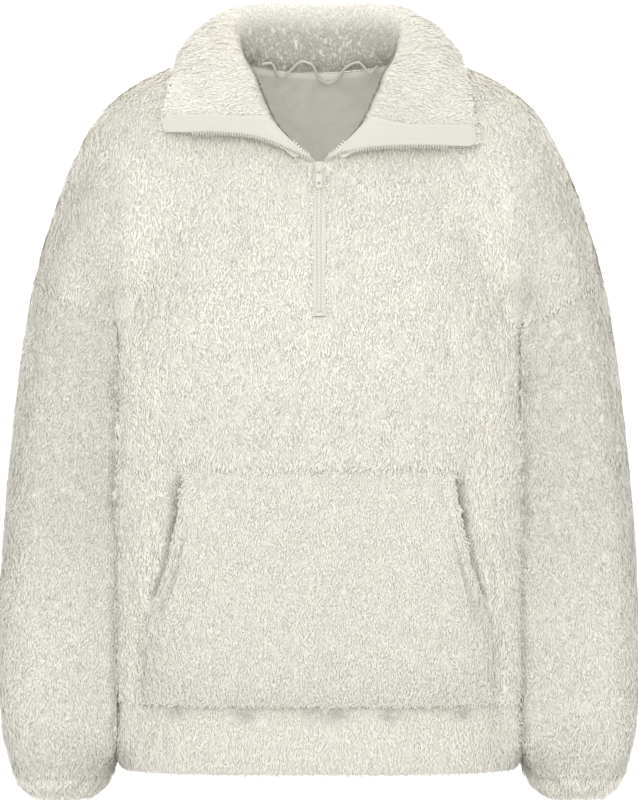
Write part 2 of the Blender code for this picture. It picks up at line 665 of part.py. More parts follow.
def makeCollar(rims, look):
    """Double collar, open. Returns its points on the fleece that shows, and their directions."""
    ts = np.array([0, 0.07, 0.14, 0.20, 0.26, 0.31, 0.36, 0.41, 0.46, 0.52, 0.58, 0.64, 0.70, 0.77, stripT, 0.92, 1])
    left, rimOut, rimInner = collarHalf(ts, rims, 1)
    right, _, _ = collarHalf(ts, rims, 0)
    middle = np.concatenate([left[:, ::-1], mirrored(right)[:, 1:]], axis=1)
    down, run = np.gradient(middle, axis=0), np.gradient(middle, axis=1)
    out = unit(np.cross(run, down))
    half = np.minimum(clothWall / 2 + 0.0002 * np.arange(middle.shape[0]), collarWall / 2)
    half[-1] *= 0.7
    shown = middle + out * half[:, None, None]
    hidden = middle - out * half[:, None, None]
    base = [np.concatenate([side[::-1], mirrored(side)[1:]]) for side in (rimOut, rimInner)]
    if np.sum((shown[1] - hidden[1]) * (base[1] - base[0])) < 0:
        shown, hidden, out = hidden, shown, -out
    hidden[0], shown[0] = base
    addWall("collar", shown, hidden, look)
    return shown, out


def makeTapes(shown, out, look, toothLook):
    """The zip's open halves: a tape on each lapel's edge and down to the slider, and its teeth."""
    rows = slice(rollRow, shown.shape[0])
    point, _ = chestPoint(tailZ)
    for side, name, block in ((1, "left", slice(0, 3)), (-1, "right", slice(-1, -4, -1))):
        away = out[rows, block]
        under = shown[rows, block] + away * 2 * seamGap
        foot = np.array([side * tailX, point[1] - 0.0015, tailZ])
        share = np.array([1, 0.66, 0.33])[:, None, None]
        line = under[0, 0] + (foot - under[0, 0]) * share
        spread = (under[0] - under[0, 0]) * (1 - share) ** 2
        step = np.arange(3)[:, None] * np.array([side * 0.0015, 0, 0.002]) * share
        bulge = np.array([0, -tailBulge, 0]) * share * (1 - share)
        away = np.concatenate([unit(away[0] * (1 - share) + np.array([0, -1, 0]) * share), away])
        under = np.concatenate([line + spread + step + bulge, under])
        over = under + away * tapeThick
        addWall(f"zip_tape_{name}", over, under, look)
        edge = (under[:, 0] + over[:, 0]) / 2
        run = unit(np.gradient(edge, axis=0))
        past = edge - (under[:, 1] + over[:, 1]) / 2
        past = unit(past - run * np.sum(past * run, axis=1, keepdims=True))
        addTube(f"zip_teeth_{name}", edge + past * (toothRadius + 2 * seamGap), toothRadius, toothLook)


def addTube(name, route, radius, look):
    """A round cord along points, with filled ends."""
    curve = bpy.data.curves.new(name, "CURVE")
    curve.dimensions = "3D"
    curve.bevel_depth = radius
    curve.bevel_resolution = 1
    curve.use_fill_caps = True
    spline = curve.splines.new("POLY")
    spline.points.add(len(route) - 1)
    for point, place in zip(spline.points, route):
        point.co = (*place, 1)
    curve.materials.append(look)
    made = bpy.data.objects.new(name, curve)
    bpy.data.collections["sherpa_fleece_pullover"].objects.link(made)
    return made


# ---- zip ----

def chestPoint(z):
    """The fleece's outer surface on the middle line, and the upward direction along it."""
    low, high = depth(0, z - 0.01, -1), depth(0, z + 0.01, -1)
    return depth(0, z, -1), unit(high - low)


def addBlock(name, halfWide, zs, back, front, look):
    """A strip of the zip up the middle line, between two depths under the fleece's surface."""
    grids = []
    for sink in (front, back):
        rows = []
        for z in zs:
            point, _ = chestPoint(z)
            rows.append([[halfWide, point[1] + sink, z], [-halfWide, point[1] + sink, z]])
        grids.append(np.array(rows))
    return addWall(name, grids[0], grids[1], look)


def sliderFrame():
    """Placement of the slider: its hinge for the tab at the origin, local +Z up along the chest."""
    point, up = chestPoint(sliderZ)
    front = tapeSink - tapeThick - 2 * seamGap - sliderThick
    tilt = -math.asin(up[1])
    place = Vector((0, point[1] + front - tabThick / 2 - 0.0009, sliderZ))
    return Matrix.Translation(place) @ Matrix.Rotation(tilt, 4, "X")


def addBox(name, low, high, place, look):
    """A box between two corners of a placed frame."""
    mesh = bmesh.new()
    low, high = Vector(low), Vector(high)
    bmesh.ops.create_cube(mesh, size=1, matrix=Matrix.Translation((low + high) / 2)
                          @ Matrix.Diagonal((*(high - low), 1)))
    made = addMesh(name, mesh, look)
    made.matrix_world = place
    return made


def makeSlider(place, look):
    """Slider body with an arched bridge that carries the tab."""
    bodyFront = tabThick / 2 + 0.0009
    body = addBox("slider", (-sliderWide / 2, bodyFront, -sliderTall / 2),
                  (sliderWide / 2, bodyFront + sliderThick, sliderTall / 2), place, look)
    outer, inner = 0.0021, 0.0012
    turn = np.linspace(0, math.pi, 9)
    outline = [(bodyFront + 0.001, outer)] + [(-outer * math.sin(a), outer * math.cos(a)) for a in turn]
    outline += [(bodyFront + 0.001, -outer), (bodyFront + 0.001, -inner)]
    outline += [(-inner * math.sin(a), -inner * math.cos(a)) for a in turn] + [(bodyFront + 0.001, inner)]
    mesh = bmesh.new()
    bridgeHalf = 0.0009
    near = [mesh.verts.new((-bridgeHalf, y, z)) for y, z in outline]
    mesh.faces.new(near)
    moved = bmesh.ops.extrude_face_region(mesh, geom=mesh.faces[:])
    for vert in (v for v in moved["geom"] if isinstance(v, bmesh.types.BMVert)):
        vert.co.x += 2 * bridgeHalf
    bridge = addMesh("bridge", mesh, look)
    bridge.matrix_world = place
    union = body.modifiers.new("bridge", "BOOLEAN")
    union.operation = "UNION"
    union.object = bridge
    hideCutter(bridge)


def hideCutter(cutter):
    """Keep a helper solid out of the garment."""
    bpy.data.collections["sherpa_fleece_pullover"].objects.unlink(cutter)
    bpy.data.collections["cutters"].objects.link(cutter)
    cutter.hide_render = True
    cutter.display_type = "WIRE"


def makeTab(place, look):
    """Pull tab hanging from the bridge, with an eye at its top and a square hole near its foot."""
    top, eyeHalf = 0.0006, 0.0014
    curve = bpy.data.curves.new("pull_tab", "CURVE")
    curve.dimensions = "2D"
    curve.fill_mode = "BOTH"
    curve.extrude = tabThick / 2
    half, foot = tabWide / 2, top - tabTall
    shoulder = half - 0.0006
    loops = (
        ((-shoulder, top), (shoulder, top), (shoulder, -0.004), (half, -0.006), (half, foot + 0.0012),
         (half - 0.0012, foot), (-half + 0.0012, foot), (-half, foot + 0.0012), (-half, -0.006), (-shoulder, -0.004)),
        ((-eyeHalf, -0.0006), (eyeHalf, -0.0006), (eyeHalf, -0.0038), (-eyeHalf, -0.0038)),
        ((-0.0014, foot + 0.0062), (0.0014, foot + 0.0062), (0.0014, foot + 0.0034), (-0.0014, foot + 0.0034)),
    )
    for loop in loops:
        spline = curve.splines.new("POLY")
        spline.points.add(len(loop) - 1)
        for point, (x, y) in zip(spline.points, loop):
            point.co = (x, y, 0, 1)
        spline.use_cyclic_u = True
    curve.materials.append(look)
    made = bpy.data.objects.new("pull_tab", curve)
    bpy.data.collections["sherpa_fleece_pullover"].objects.link(made)
    made.matrix_world = place @ Matrix.Rotation(math.pi / 2, 4, "X")


def makeZip(tapeLook, toothLook):
    """The closed half of the zip with its slider, tab and stop."""
    tapeBack, tapeFront = tapeSink, tapeSink - tapeThick
    chainBack = tapeFront - seamGap
    zs = np.linspace(zipBottomZ + 2 * seamGap, -0.098, 15)
    addBlock("zip_tape_closed", slitHalf - 2 * seamGap, zs, tapeBack, tapeFront, tapeLook)
    chainTop = sliderZ - sliderTall / 2 - 0.0025
    stopTop = zipBottomZ + 0.0045
    zs = np.linspace(stopTop + seamGap, chainTop, 9)
    addBlock("zip_chain", chainWide / 2, zs, chainBack, chainBack - chainThick, toothLook)
    zs = np.array([zipBottomZ + 0.0012, stopTop])
    addBlock("zip_bottom_stop", chainWide / 2 + 0.0006, zs, chainBack, chainBack - chainThick - 0.0004, toothLook)
    place = sliderFrame()
    makeSlider(place, toothLook)
    makeTab(place, toothLook)


# ---- neck seam ----

def makePiping(look):
    """Wavy piping over the neck seam, on the inside of the back."""
    trees = []
    for name in ("back", "collar"):
        mesh = bpy.data.objects[name].data
        faces = [tuple(face.vertices) for face in mesh.polygons]
        trees.append(BVHTree.FromPolygons([vert.co for vert in mesh.vertices], faces))
    waves = table(
        ("x", "z"),
        (-0.068, 0.0125), (-0.055, 0.0145), (-0.039, 0.0010), (-0.031, 0.0070), (-0.019, 0.0165), (-0.008, 0.0135),
        (0.003, -0.0030), (0.010, -0.0045), (0.019, 0.0005), (0.029, 0.0105), (0.044, 0.0155), (0.056, 0.0050),
        (0.068, 0.0130),
    )
    clear = pipingRadius + 3 * seamGap
    starts, aways, reach = [], [], []
    for x in np.linspace(-0.066, 0.066, 45):
        z = float(along(waves, "z", x, "x"))
        start = Vector((x * 0.6, -0.01, z))
        away = (Vector((x, 0.05, z)) - start).normalized()
        hits = [tree.ray_cast(start, away) for tree in trees]
        distance = min(hit[3] for hit in hits if hit[0] is not None) - clear
        for _ in range(12):
            near = min(tree.find_nearest(start + away * distance)[3] for tree in trees)
            distance -= max(clear - near, 0)
        starts.append(start)
        aways.append(away)
        reach.append(distance)
    padded = np.pad(reach, 1, mode="edge")
    reach = np.minimum(reach, (padded[:-2] + padded[2:]) / 2)
    route = [start + away * distance for start, away, distance in zip(starts, aways, reach)]
    addTube("neck_seam_piping", route, pipingRadius, look)


def build():
    """Make every piece of the pullover."""
    for existing in list(bpy.data.objects):
        bpy.data.objects.remove(existing, do_unlink=True)
    for name in ("sherpa_fleece_pullover", "cutters"):
        bpy.context.scene.collection.children.link(bpy.data.collections.new(name))
    fleece = material("fleece", (0.80, 0.78, 0.70))
    pocketFleece = material("pocket_fleece", (0.78, 0.76, 0.67))
    bandFleece = material("band_fleece", (0.79, 0.77, 0.69))
    collarFleece = material("collar_fleece", (0.84, 0.82, 0.74))
    tape = material("zip_tape", (0.84, 0.82, 0.73), 0.7)
    teeth = material("zip_teeth", (0.82, 0.80, 0.71), 0.4)
    front = makeFront(fleece)
    back = makeBack(fleece)
    makePocket(*front, pocketFleece)
    makeSleeves(fleece)
    makeCuffs(bandFleece)
    makeHemBand(bandFleece)
    shown, away = makeCollar(neckRim(front, back), collarFleece)
    makeTapes(shown, away, tape, teeth)
    makeZip(tape, teeth)
    makePiping(tape)


build()
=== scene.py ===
import math

import bmesh
import bpy
import numpy as np
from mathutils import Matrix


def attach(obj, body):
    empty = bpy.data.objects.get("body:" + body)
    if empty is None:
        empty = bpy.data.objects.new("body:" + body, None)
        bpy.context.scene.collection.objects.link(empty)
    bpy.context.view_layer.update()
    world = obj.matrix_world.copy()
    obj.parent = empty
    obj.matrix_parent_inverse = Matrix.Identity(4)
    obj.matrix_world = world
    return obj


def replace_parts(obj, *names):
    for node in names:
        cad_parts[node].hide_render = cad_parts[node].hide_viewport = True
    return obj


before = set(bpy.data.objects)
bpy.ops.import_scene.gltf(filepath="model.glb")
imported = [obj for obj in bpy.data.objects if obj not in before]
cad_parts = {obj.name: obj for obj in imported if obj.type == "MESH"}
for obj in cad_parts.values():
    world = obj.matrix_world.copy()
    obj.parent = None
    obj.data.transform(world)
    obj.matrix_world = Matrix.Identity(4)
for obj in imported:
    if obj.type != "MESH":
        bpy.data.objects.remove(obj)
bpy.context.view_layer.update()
scene = bpy.context.scene
print("frame loaded")

# The garment's own sizes, in metres, the same as in its solids
garment = {
    "clothWall": 0.006, "seamGap": 0.0003, "gatherRise": 0.0018,
    "hemSeamZ": -0.6215, "hemEdgeZ": -0.689, "cuffEdgeZ": -0.718,
    "armpitX": 0.2006, "armpitZ": -0.257, "armholeTopX": 0.2845, "armholeSlope": 0.60,
    "slitHalf": 0.0075, "zipBottomZ": -0.2445, "creaseReach": 0.040, "underarmReach": 0.022,
    "sideCells": 6, "armholeCells": 14,
}
pocketForm = {"openRow": 4, "topRow": 7, "cells": 7, "middleLift": 0.004, "mouthLift": 0.011}
collarForm = {
    "wall": 0.0075, "sideT": 0.42, "turnRadius": 0.0052, "neckStopX": 0.0222, "rollRow": 5,
    "fallRest": 0.0055, "edgeRest": 0.0018, "pathRest": 0.0016,     # clear of the body under it
}
clothWall, seamGap, halfGap = garment["clothWall"], garment["seamGap"], garment["seamGap"] / 2
armpitX, armpitZ, armholeCells = garment["armpitX"], garment["armpitZ"], garment["armholeCells"]
hemSeamZ, slitHalf, zipBottomZ = garment["hemSeamZ"], garment["slitHalf"], garment["zipBottomZ"]
rollRow = collarForm["rollRow"]


# A short table: each named column becomes an array
def table(columns, *rows):
    return dict(zip(columns.split(), np.array(rows, float).T))


trunk = table(
    "z half front back power",
    (-0.689, 0.1985, 0.139, 0.127, 3.2), (-0.6215, 0.1965, 0.1385, 0.1265, 3.2),
    (-0.6, 0.1985, 0.145, 0.132, 3.2), (-0.56, 0.199, 0.149, 0.135, 3.2), (-0.45, 0.1985, 0.148, 0.134, 3.2),
    (-0.35, 0.198, 0.145, 0.131, 3.1), (-0.257, 0.1975, 0.139, 0.128, 2.8), (-0.2, 0.194, 0.135, 0.126, 2.5),
    (-0.15, 0.192, 0.129, 0.122, 2.4), (-0.1, 0.189, 0.116, 0.113, 2.3), (-0.06, 0.185, 0.097, 0.101, 2.3),
    (-0.03, 0.178, 0.079, 0.086, 2.3), (-0.005, 0.164, 0.06, 0.068, 2.3), (0.003, 0.145, 0.052, 0.06, 2.3),
    (0.012, 0.118, 0.041, 0.049, 2.3), (0.02, 0.09, 0.03, 0.037, 2.3), (0.026, 0.065, 0.022, 0.028, 2.3),
)
arm = table(
    "z outer inner centreY halfY power",
    (-0.697, 0.295, 0.209, -0.018, 0.046, 2.2), (-0.688, 0.304, 0.203, -0.02, 0.055, 2.3),
    (-0.672, 0.311, 0.2012, -0.022, 0.064, 2.5), (-0.64, 0.3165, 0.2016, -0.024, 0.07, 2.7),
    (-0.58, 0.3185, 0.2022, -0.024, 0.074, 2.7), (-0.48, 0.3155, 0.2022, -0.022, 0.078, 2.7),
    (-0.38, 0.3075, 0.2016, -0.017, 0.082, 2.7), (-0.3, 0.299, 0.2008, -0.009, 0.086, 2.6),
    (-0.257, 0.2935, 0.2006, -0.003, 0.088, 2.5), (-0.205, 0.284, 0.18, 0.001, 0.09, 2.3),
    (-0.145, 0.268, 0.15, 0.002, 0.09, 2.2), (-0.105, 0.254, 0.13, 0.002, 0.086, 2.2),
    (-0.065, 0.2355, 0.12, 0.002, 0.077, 2.2), (-0.045, 0.223, 0.118, 0.002, 0.068, 2.2),
    (-0.028, 0.206, 0.118, 0.002, 0.056, 2.2), (-0.014, 0.186, 0.12, 0.002, 0.038, 2.2),
    (-0.006, 0.165, 0.125, 0.002, 0.02, 2.2),
)
# Soft folds: the two ends of each one's line, its width and its rise
folds = np.array([
    (0.176, -0.100, -0.300, 0.120, -0.140, -0.360, 0.022, 0.003),
    (0.190, -0.060, -0.320, 0.184, -0.070, -0.560, 0.020, -0.002),
    (0.100, -0.140, -0.590, 0.165, -0.110, -0.570, 0.014, 0.003),
    (0.170, 0.100, -0.300, 0.110, 0.130, -0.450, 0.024, 0.004),
    (0.060, 0.130, -0.160, 0.130, 0.120, -0.260, 0.026, 0.003),
    (0.030, 0.135, -0.560, 0.120, 0.120, -0.590, 0.018, 0.004),
    (0.225, -0.095, -0.400, 0.290, -0.078, -0.370, 0.018, -0.004),
    (0.230, -0.098, -0.455, 0.300, -0.070, -0.490, 0.018, -0.004),
    (0.240, 0.055, -0.430, 0.305, 0.034, -0.410, 0.020, 0.004),
    (0.230, -0.092, -0.600, 0.300, -0.076, -0.570, 0.020, -0.003),
    (0.250, -0.088, -0.640, 0.290, -0.074, -0.665, 0.016, 0.003),
    (0.245, 0.045, -0.560, 0.300, 0.034, -0.620, 0.022, -0.004),
    (0.200, -0.085, -0.130, 0.250, -0.070, -0.190, 0.022, 0.003),
])
# The neck edge at x and z, from the middle behind to the side, and from the side to the slit in front
neckBack = np.array([(0.0, 0.0085), (0.030, 0.0095), (0.060, 0.0135), (0.080, 0.0180)])
neckSide = (0.0880, 0.0205)
neckFront = np.array([(0.0787, 0.0098), (0.0659, -0.0206), (0.0526, -0.0516), (0.0390, -0.0733),
                      (0.0222, -0.0910), (0.0075, -0.1020)])
collarRows = table(
    "t rollX rollY rollZ fallX fallY fallZ edgeX edgeY edgeZ drop",
    (0.00, 0.000, 0.0600, 0.0725, 0.000, 0.078, 0.0480, 0.000, 0.084, 0.0120, 0.0),
    (0.14, 0.042, 0.0570, 0.0735, 0.049, 0.075, 0.0500, 0.053, 0.081, 0.0130, 0.0),
    (0.26, 0.076, 0.0475, 0.0705, 0.092, 0.061, 0.0560, 0.103, 0.069, 0.0190, 0.0),
    (0.36, 0.0875, 0.0240, 0.0540, 0.116, 0.034, 0.0510, 0.132, 0.042, 0.0190, 0.0),
    (0.46, 0.0850, -0.004, 0.0350, 0.120, -0.004, 0.0370, 0.1415, -0.004, 0.0140, 0.0),
    (0.58, 0.0765, -0.040, 0.0115, 0.112, -0.048, 0.0080, 0.1435, -0.045, -0.0060, 0.001),
    (0.70, 0.0595, -0.076, -0.0175, 0.102, -0.082, -0.0200, 0.148, -0.074, -0.0240, 0.006),
    (0.84, 0.0440, -0.104, -0.0520, 0.090, -0.108, -0.0410, 0.153, -0.090, -0.0420, 0.013),
    (1.00, 0.0180, -0.124, -0.0795, 0.070, -0.124, -0.0600, 0.155, -0.098, -0.0600, 0.016),
)
collarStations = (0, 0.07, 0.14, 0.20, 0.26, 0.31, 0.36, 0.41, 0.46,
                  0.52, 0.58, 0.64, 0.70, 0.77, 0.84, 0.92, 1)
pocketLine = table("z edge", (-0.6215, 0.1725), (-0.575, 0.172), (-0.524, 0.167), (-0.49, 0.155),
                   (-0.445, 0.1425), (-0.39, 0.1335), (-0.3, 0.131), (-0.257, 0.13))
frontHeights = (-0.6215, -0.606, -0.585, -0.555, -0.524, -0.480, -0.435, -0.390, -0.345, -0.300, -0.257)
backHeights = (-0.6215, -0.585, -0.524, -0.435, -0.345, -0.300, -0.257)
sleeveDrops = (0, 0.024, 0.054, 0.090, 0.130, 0.175, 0.220, 0.265, 0.310, 0.350, 0.385, 0.411, 0.429, 0.440)
# Rings of the gathered bands: the rise of their waves, and how far the wall's two sides are cut back
hemRings = table("z rise outerCut innerCut", (hemSeamZ - halfGap, 0.0010, 0, 0), (-0.632, 0.0015, 0, 0),
                 (-0.650, 0.0010, 0, 0), (-0.670, 0.0006, 0, 0), (-0.684, 0.0004, 0.0005, 0.0003),
                 (garment["hemEdgeZ"], 0, 0.0022, 0.0018))
cuffRings = table("z rise outerCut innerCut swell", (arm["z"][0] - halfGap, 0.0008, 0, 0, -0.0005),
                  (-0.703, 0.0014, 0, 0, 0.0005), (-0.709, 0.0012, 0, 0, 0.001),
                  (-0.7145, 0.0008, 0.0004, 0.0003, 0.0005),
                  (garment["cuffEdgeZ"], 0, 0.0022, 0.0018, -0.0005))
armEnd = np.array([(arm["outer"][0] + arm["inner"][0]) / 2, arm["centreY"][0]])     # middle of its last ring


# Monotone cubic through one column of a table, read at any values of its key
def along(rows, column, at, key="z"):
    x, y = rows[key], rows[column]
    at = np.clip(at, x[0], x[-1])
    step = np.diff(x)
    slope = np.diff(y) / step
    a, b = slope[:-1], slope[1:]
    same = a * b > 0
    tangent = np.concatenate([slope[:1], np.where(same, 2 * a * b / np.where(same, a + b, 1), 0), slope[-1:]])
    i = np.clip(np.searchsorted(x, at) - 1, 0, len(step) - 1)
    h = step[i]
    t = (at - x[i]) / h
    return ((1 + 2 * t) * (1 - t) ** 2 * y[i] + t * (1 - t) ** 2 * h * tangent[i]
            + t * t * (3 - 2 * t) * y[i + 1] + t * t * (t - 1) * h * tangent[i + 1])


def columnsAt(rows, columns, at, key="z"):
    return [along(rows, column, at, key) for column in columns.split()]


# Zero to one with level ends
def smoothStep(value):
    value = np.clip(value, 0, 1)
    return value * value * (3 - 2 * value)


# Smooth steps over a width: up from a start, and down to an end
def rising(value, start, width):
    return smoothStep((value - start) / width)


def falling(value, end, width):
    return smoothStep((end - value) / width)


# One at the centre, falling away on both sides: exp(-((value - centre) / reach)^2)
def bell(value, centre, reach):
    return np.exp(-((value - centre) / reach) ** 2)


def joined(*parts):
    return np.stack(np.broadcast_arrays(*parts), axis=-1)


def size(vectors):
    return np.linalg.norm(vectors, axis=-1, keepdims=True)


def unit(vectors):
    return vectors / np.maximum(size(vectors), 1e-12)


# Directions turned square to an axis
def squared(vectors, axis):
    return unit(vectors - axis * np.sum(vectors * axis, axis=-1, keepdims=True))


def lengths(grid, axis):
    steps = np.linalg.norm(np.diff(grid, axis=axis), axis=-1)
    first = np.zeros_like(np.take(steps, [0], axis=axis))
    return np.concatenate([first, np.cumsum(steps, axis=axis)], axis=axis)


def pointsAt(at, run, points):
    return np.stack([np.interp(at, run, points[:, k]) for k in range(points.shape[1])], axis=-1)


def resample(points, count):
    run = lengths(points, 0)
    return pointsAt(np.linspace(0, run[-1], count), run, points)


def mirrored(grid):
    other = grid.copy()
    other[..., 0] *= -1
    return other


def armholeZ(x):
    return armpitZ + garment["armholeSlope"] * (np.abs(x) - armpitX)


# Rough signed distance from a superellipse: (|x/a|^p + |y/b|^p)^(1/p) less one, times the smaller half
def superRing(x, y, half, deep, power):
    ring = (np.abs(x / half) ** power + np.abs(y / deep) ** power) ** (1 / power)
    return (ring - 1) * np.minimum(half, deep)


def trunkField(points):
    x, y, z = np.abs(points[..., 0]), points[..., 1], points[..., 2]
    half, front, back, power = columnsAt(trunk, "half front back power", z)
    return superRing(x, y, half, np.where(y < 0, front, back), power) + np.maximum(z - trunk["z"][-1], 0)


def armField(points):
    x, y, z = np.abs(points[..., 0]), points[..., 1], points[..., 2]
    outer, inner, centre, deep, power = columnsAt(arm, "outer inner centreY halfY power", z)
    ring = superRing(x - (outer + inner) / 2, y - centre, (outer - inner) / 2, deep, power)
    return ring + np.maximum(z - arm["z"][-1], 0)


# Trunk and arms together: their smooth minimum over the width of a blend
def blendedField(points, blend):
    body, limb = trunkField(points), armField(points)
    mix = np.clip(0.5 + 0.5 * (body - limb) / blend, 0, 1)
    return body + (limb - body) * mix - blend * mix * (1 - mix)


# The blend is softer the higher a point is over the armhole
def bodyField(points):
    return blendedField(points, 0.0005 + 0.040 * rising(points[..., 2] - armholeZ(points[..., 0]), 0, 0.07))


def gradient(points, shape):
    step = 0.0005
    return np.stack([(shape(points + s) - shape(points - s)) / (2 * step) for s in np.eye(3) * step], axis=-1)


def bisect(inside, low, high):
    for _ in range(28):
        middle = (low + high) / 2
        holds = inside(middle)
        low, high = np.where(holds, middle, low), np.where(holds, high, middle)
    return low


# Points of the body's surface at x and z, in front (face -1) or behind (face 1)
def depth(x, z, face):
    x, z = np.broadcast_arrays(np.asarray(x, float), np.asarray(z, float))
    y = bisect(lambda d: bodyField(joined(x, face * d, z)) < 0, np.zeros(x.shape), np.full(x.shape, 0.22))
    return joined(x, face * y, z)


def ridgeZ(x):
    return bisect(lambda z: bodyField(joined(x, 0 * x, z)) < 0,
                  np.full(x.shape, -0.21), np.full(x.shape, 0.03))


# The bands' gathers: cos(waves * turn + 0.9 sin(3 turn))
def gatherWave(turn, waves):
    return np.cos(waves * turn + 0.9 * np.sin(3 * turn))


# Lift of the soft folds: for each line a bell over the distance from it; and waves of gathers over the hem
def drape(points):
    folded = points.copy()
    folded[..., 0] = np.abs(folded[..., 0])
    lift = np.zeros(points.shape[:-1])
    for fold in folds:
        start, span = fold[:3], fold[3:6] - fold[:3]
        share = np.clip(((folded - start) @ span) / (span @ span), 0, 1)
        away = np.linalg.norm(folded - start - share[..., None] * span, axis=-1)
        lift += fold[7] * bell(away, 0, fold[6])
    near = bell(points[..., 2], hemSeamZ, 0.022) * (folded[..., 0] < armpitX)
    return lift + garment["gatherRise"] * near * gatherWave(np.arctan2(points[..., 1], points[..., 0]), 14)


def nearArmpit(points, reach):
    away = joined(np.abs(points[..., 0]) - armpitX, points[..., 1], points[..., 2] - armpitZ)
    return bell(size(away), 0, reach)


# Outer and inner sides of the cloth; under each arm the outer side faces down
def layers(points, out):
    near = nearArmpit(points, garment["underarmReach"])
    out = unit(out * (1 - near) + np.array([0, 0, -1]) * near)
    lift = drape(points)[..., None]
    return points + out * lift, points + out * (lift - clothWall)


# Front and back panels

def armholeXs():
    turn = np.linspace(0, math.pi, armholeCells + 1)
    return armpitX + (garment["armholeTopX"] - armpitX) * (1 - np.cos(turn)) / 2


def neckLine(face):
    points = np.concatenate([[neckSide], neckFront if face < 0 else neckBack[::-1]])
    knots = {"t": np.linspace(0, 1, len(points)), "x": points[:, 0], "z": points[:, 1]}
    return np.stack(columnsAt(knots, "x z", np.linspace(0, 1, 60), "t"), axis=-1)


def topLine(face, shoulderCells, neckCells):
    turn = np.linspace(0, math.pi / 2, 60)
    topX = garment["armholeTopX"]
    xs = topX + (neckSide[0] - topX) * (1 - np.cos(turn))
    shoulder = resample(joined(xs, ridgeZ(xs)), shoulderCells + 1)
    shoulder[:, 1] = ridgeZ(shoulder[:, 0])
    shoulder[0] = topX, armholeZ(topX)
    if face > 0:
        return np.concatenate([shoulder[:-1], resample(neckLine(face), neckCells + 1)])
    neck = resample(neckLine(face), neckCells)
    return np.concatenate([shoulder[:-1], neck, neck[-1:] * (0, 1)])


def lowerRows(heights, inside, outside):
    rows = []
    for z in heights:
        half, edge = along(trunk, "half", z), along(pocketLine, "edge", z)
        side = half * np.cos(np.linspace(0, math.acos(edge / half), outside + 1))
        rows.append(joined(np.concatenate([side, edge * np.linspace(1, 0, inside + 1)[1:]]), z))
    return np.array(rows)


# Coons patch over the armpit: the sum of the blends between opposite edges, less the blend of the corners
def upperPatch(bottom, top, middle):
    xs = armholeXs()
    side = joined(xs, armholeZ(xs))
    u = np.linspace(0, 1, len(bottom))[None, :, None]
    v = np.linspace(0, 1, armholeCells + 1)[:, None, None]
    corners = ((1 - u) * (1 - v) * bottom[0] + u * (1 - v) * bottom[-1]
               + (1 - u) * v * top[0] + u * v * top[-1])
    return (1 - v) * bottom + v * top + (1 - u) * side[:, None] + u * middle[:, None] - corners


def panel(face, heights, inside, outside, neckCells, middleZ):
    lower = lowerRows(heights, inside, outside)
    top = topLine(face, inside + outside - neckCells, neckCells)
    bottom = lower[-1].copy()
    bottom[0] = armpitX, armpitZ
    half = np.concatenate([lower, upperPatch(bottom, top, joined(0 * middleZ, middleZ))[1:]])
    if face < 0:
        half[len(heights):, -2, 0] = slitHalf
        half[len(heights):, -2, 1] = middleZ[1:]
    flat = np.concatenate([half, mirrored(half[:, -2::-1])], axis=1)
    points = depth(np.abs(flat[..., 0]), flat[..., 1], face)
    points[..., 0] = flat[..., 0]
    return points


def relax(grid):
    for _ in range(18):
        inner = grid[1:-1, 1:-1]
        around = (grid[2:, 1:-1] + grid[:-2, 1:-1] + grid[1:-1, 2:] + grid[1:-1, :-2]) / 4
        grid[1:-1, 1:-1] = inner + nearArmpit(inner, garment["creaseReach"]) * (around - inner)


def panelLayers(points, face):
    seams = np.zeros(points.shape[:2], bool)
    seams[:-armholeCells, [0, -1]] = True
    seams[-1] = np.abs(points[-1, :, 0]) >= neckSide[0] - halfGap
    relax(points)
    near = nearArmpit(points, garment["creaseReach"])
    across = unit(np.cross(np.gradient(points, axis=0), np.gradient(points, axis=1)))
    across *= face * np.sign(across[0, points.shape[1] // 2, 1])
    grids = layers(points, unit(unit(gradient(points, bodyField)) * (1 - near) + across * near))
    for grid in grids:
        relax(grid)
        grid[..., 1] = np.where(seams, face * halfGap, face * np.maximum(face * grid[..., 1], halfGap))
        grid[0, :, 2] = hemSeamZ + halfGap
        upper = grid[-armholeCells - 1:]
        upper[..., 2] = np.maximum(upper[..., 2], armholeZ(upper[..., 0]) + seamGap)
    return grids


def frontLayers():
    middleZ = np.concatenate([[armpitZ], np.linspace(zipBottomZ, neckFront[-1, 1], armholeCells)])
    return panelLayers(panel(-1, frontHeights, pocketForm["cells"], garment["sideCells"], 6, middleZ), -1)


def backLayers():
    middleZ = np.linspace(armpitZ, neckBack[0, 1], armholeCells + 1)
    return panelLayers(panel(1, backHeights, 6, garment["sideCells"], 4, middleZ), 1)


# The pocket: the front's own points moved out, sewn down but for its slanted mouths
def pocketLayers(outer, inner):
    out = unit(outer - inner)
    middle, cells = outer.shape[1] // 2, pocketForm["cells"]
    top, opens = pocketForm["topRow"], pocketForm["openRow"]
    block = (slice(0, top + 1), slice(middle - cells, middle + cells + 1))
    base, away = outer[block], out[block]
    across = np.abs(np.linspace(-1, 1, base.shape[1]))[None, :]
    row = np.arange(base.shape[0])[:, None]
    gaping = np.sin(math.pi * np.clip((row - opens) / (top - opens), 0, 1)) * rising(across, 0.45, 0.5)
    pouch = np.sin(math.pi * row / top) * (1 - across ** 4)
    lift = 2 * seamGap + pocketForm["middleLift"] * pouch + pocketForm["mouthLift"] * gaping
    under = base + away * lift[..., None]
    over = under + away * clothWall
    for grid in (under, over):
        grid[0, :, 2] = hemSeamZ + halfGap
    return over, under


# Sleeves, cuffs and hem band

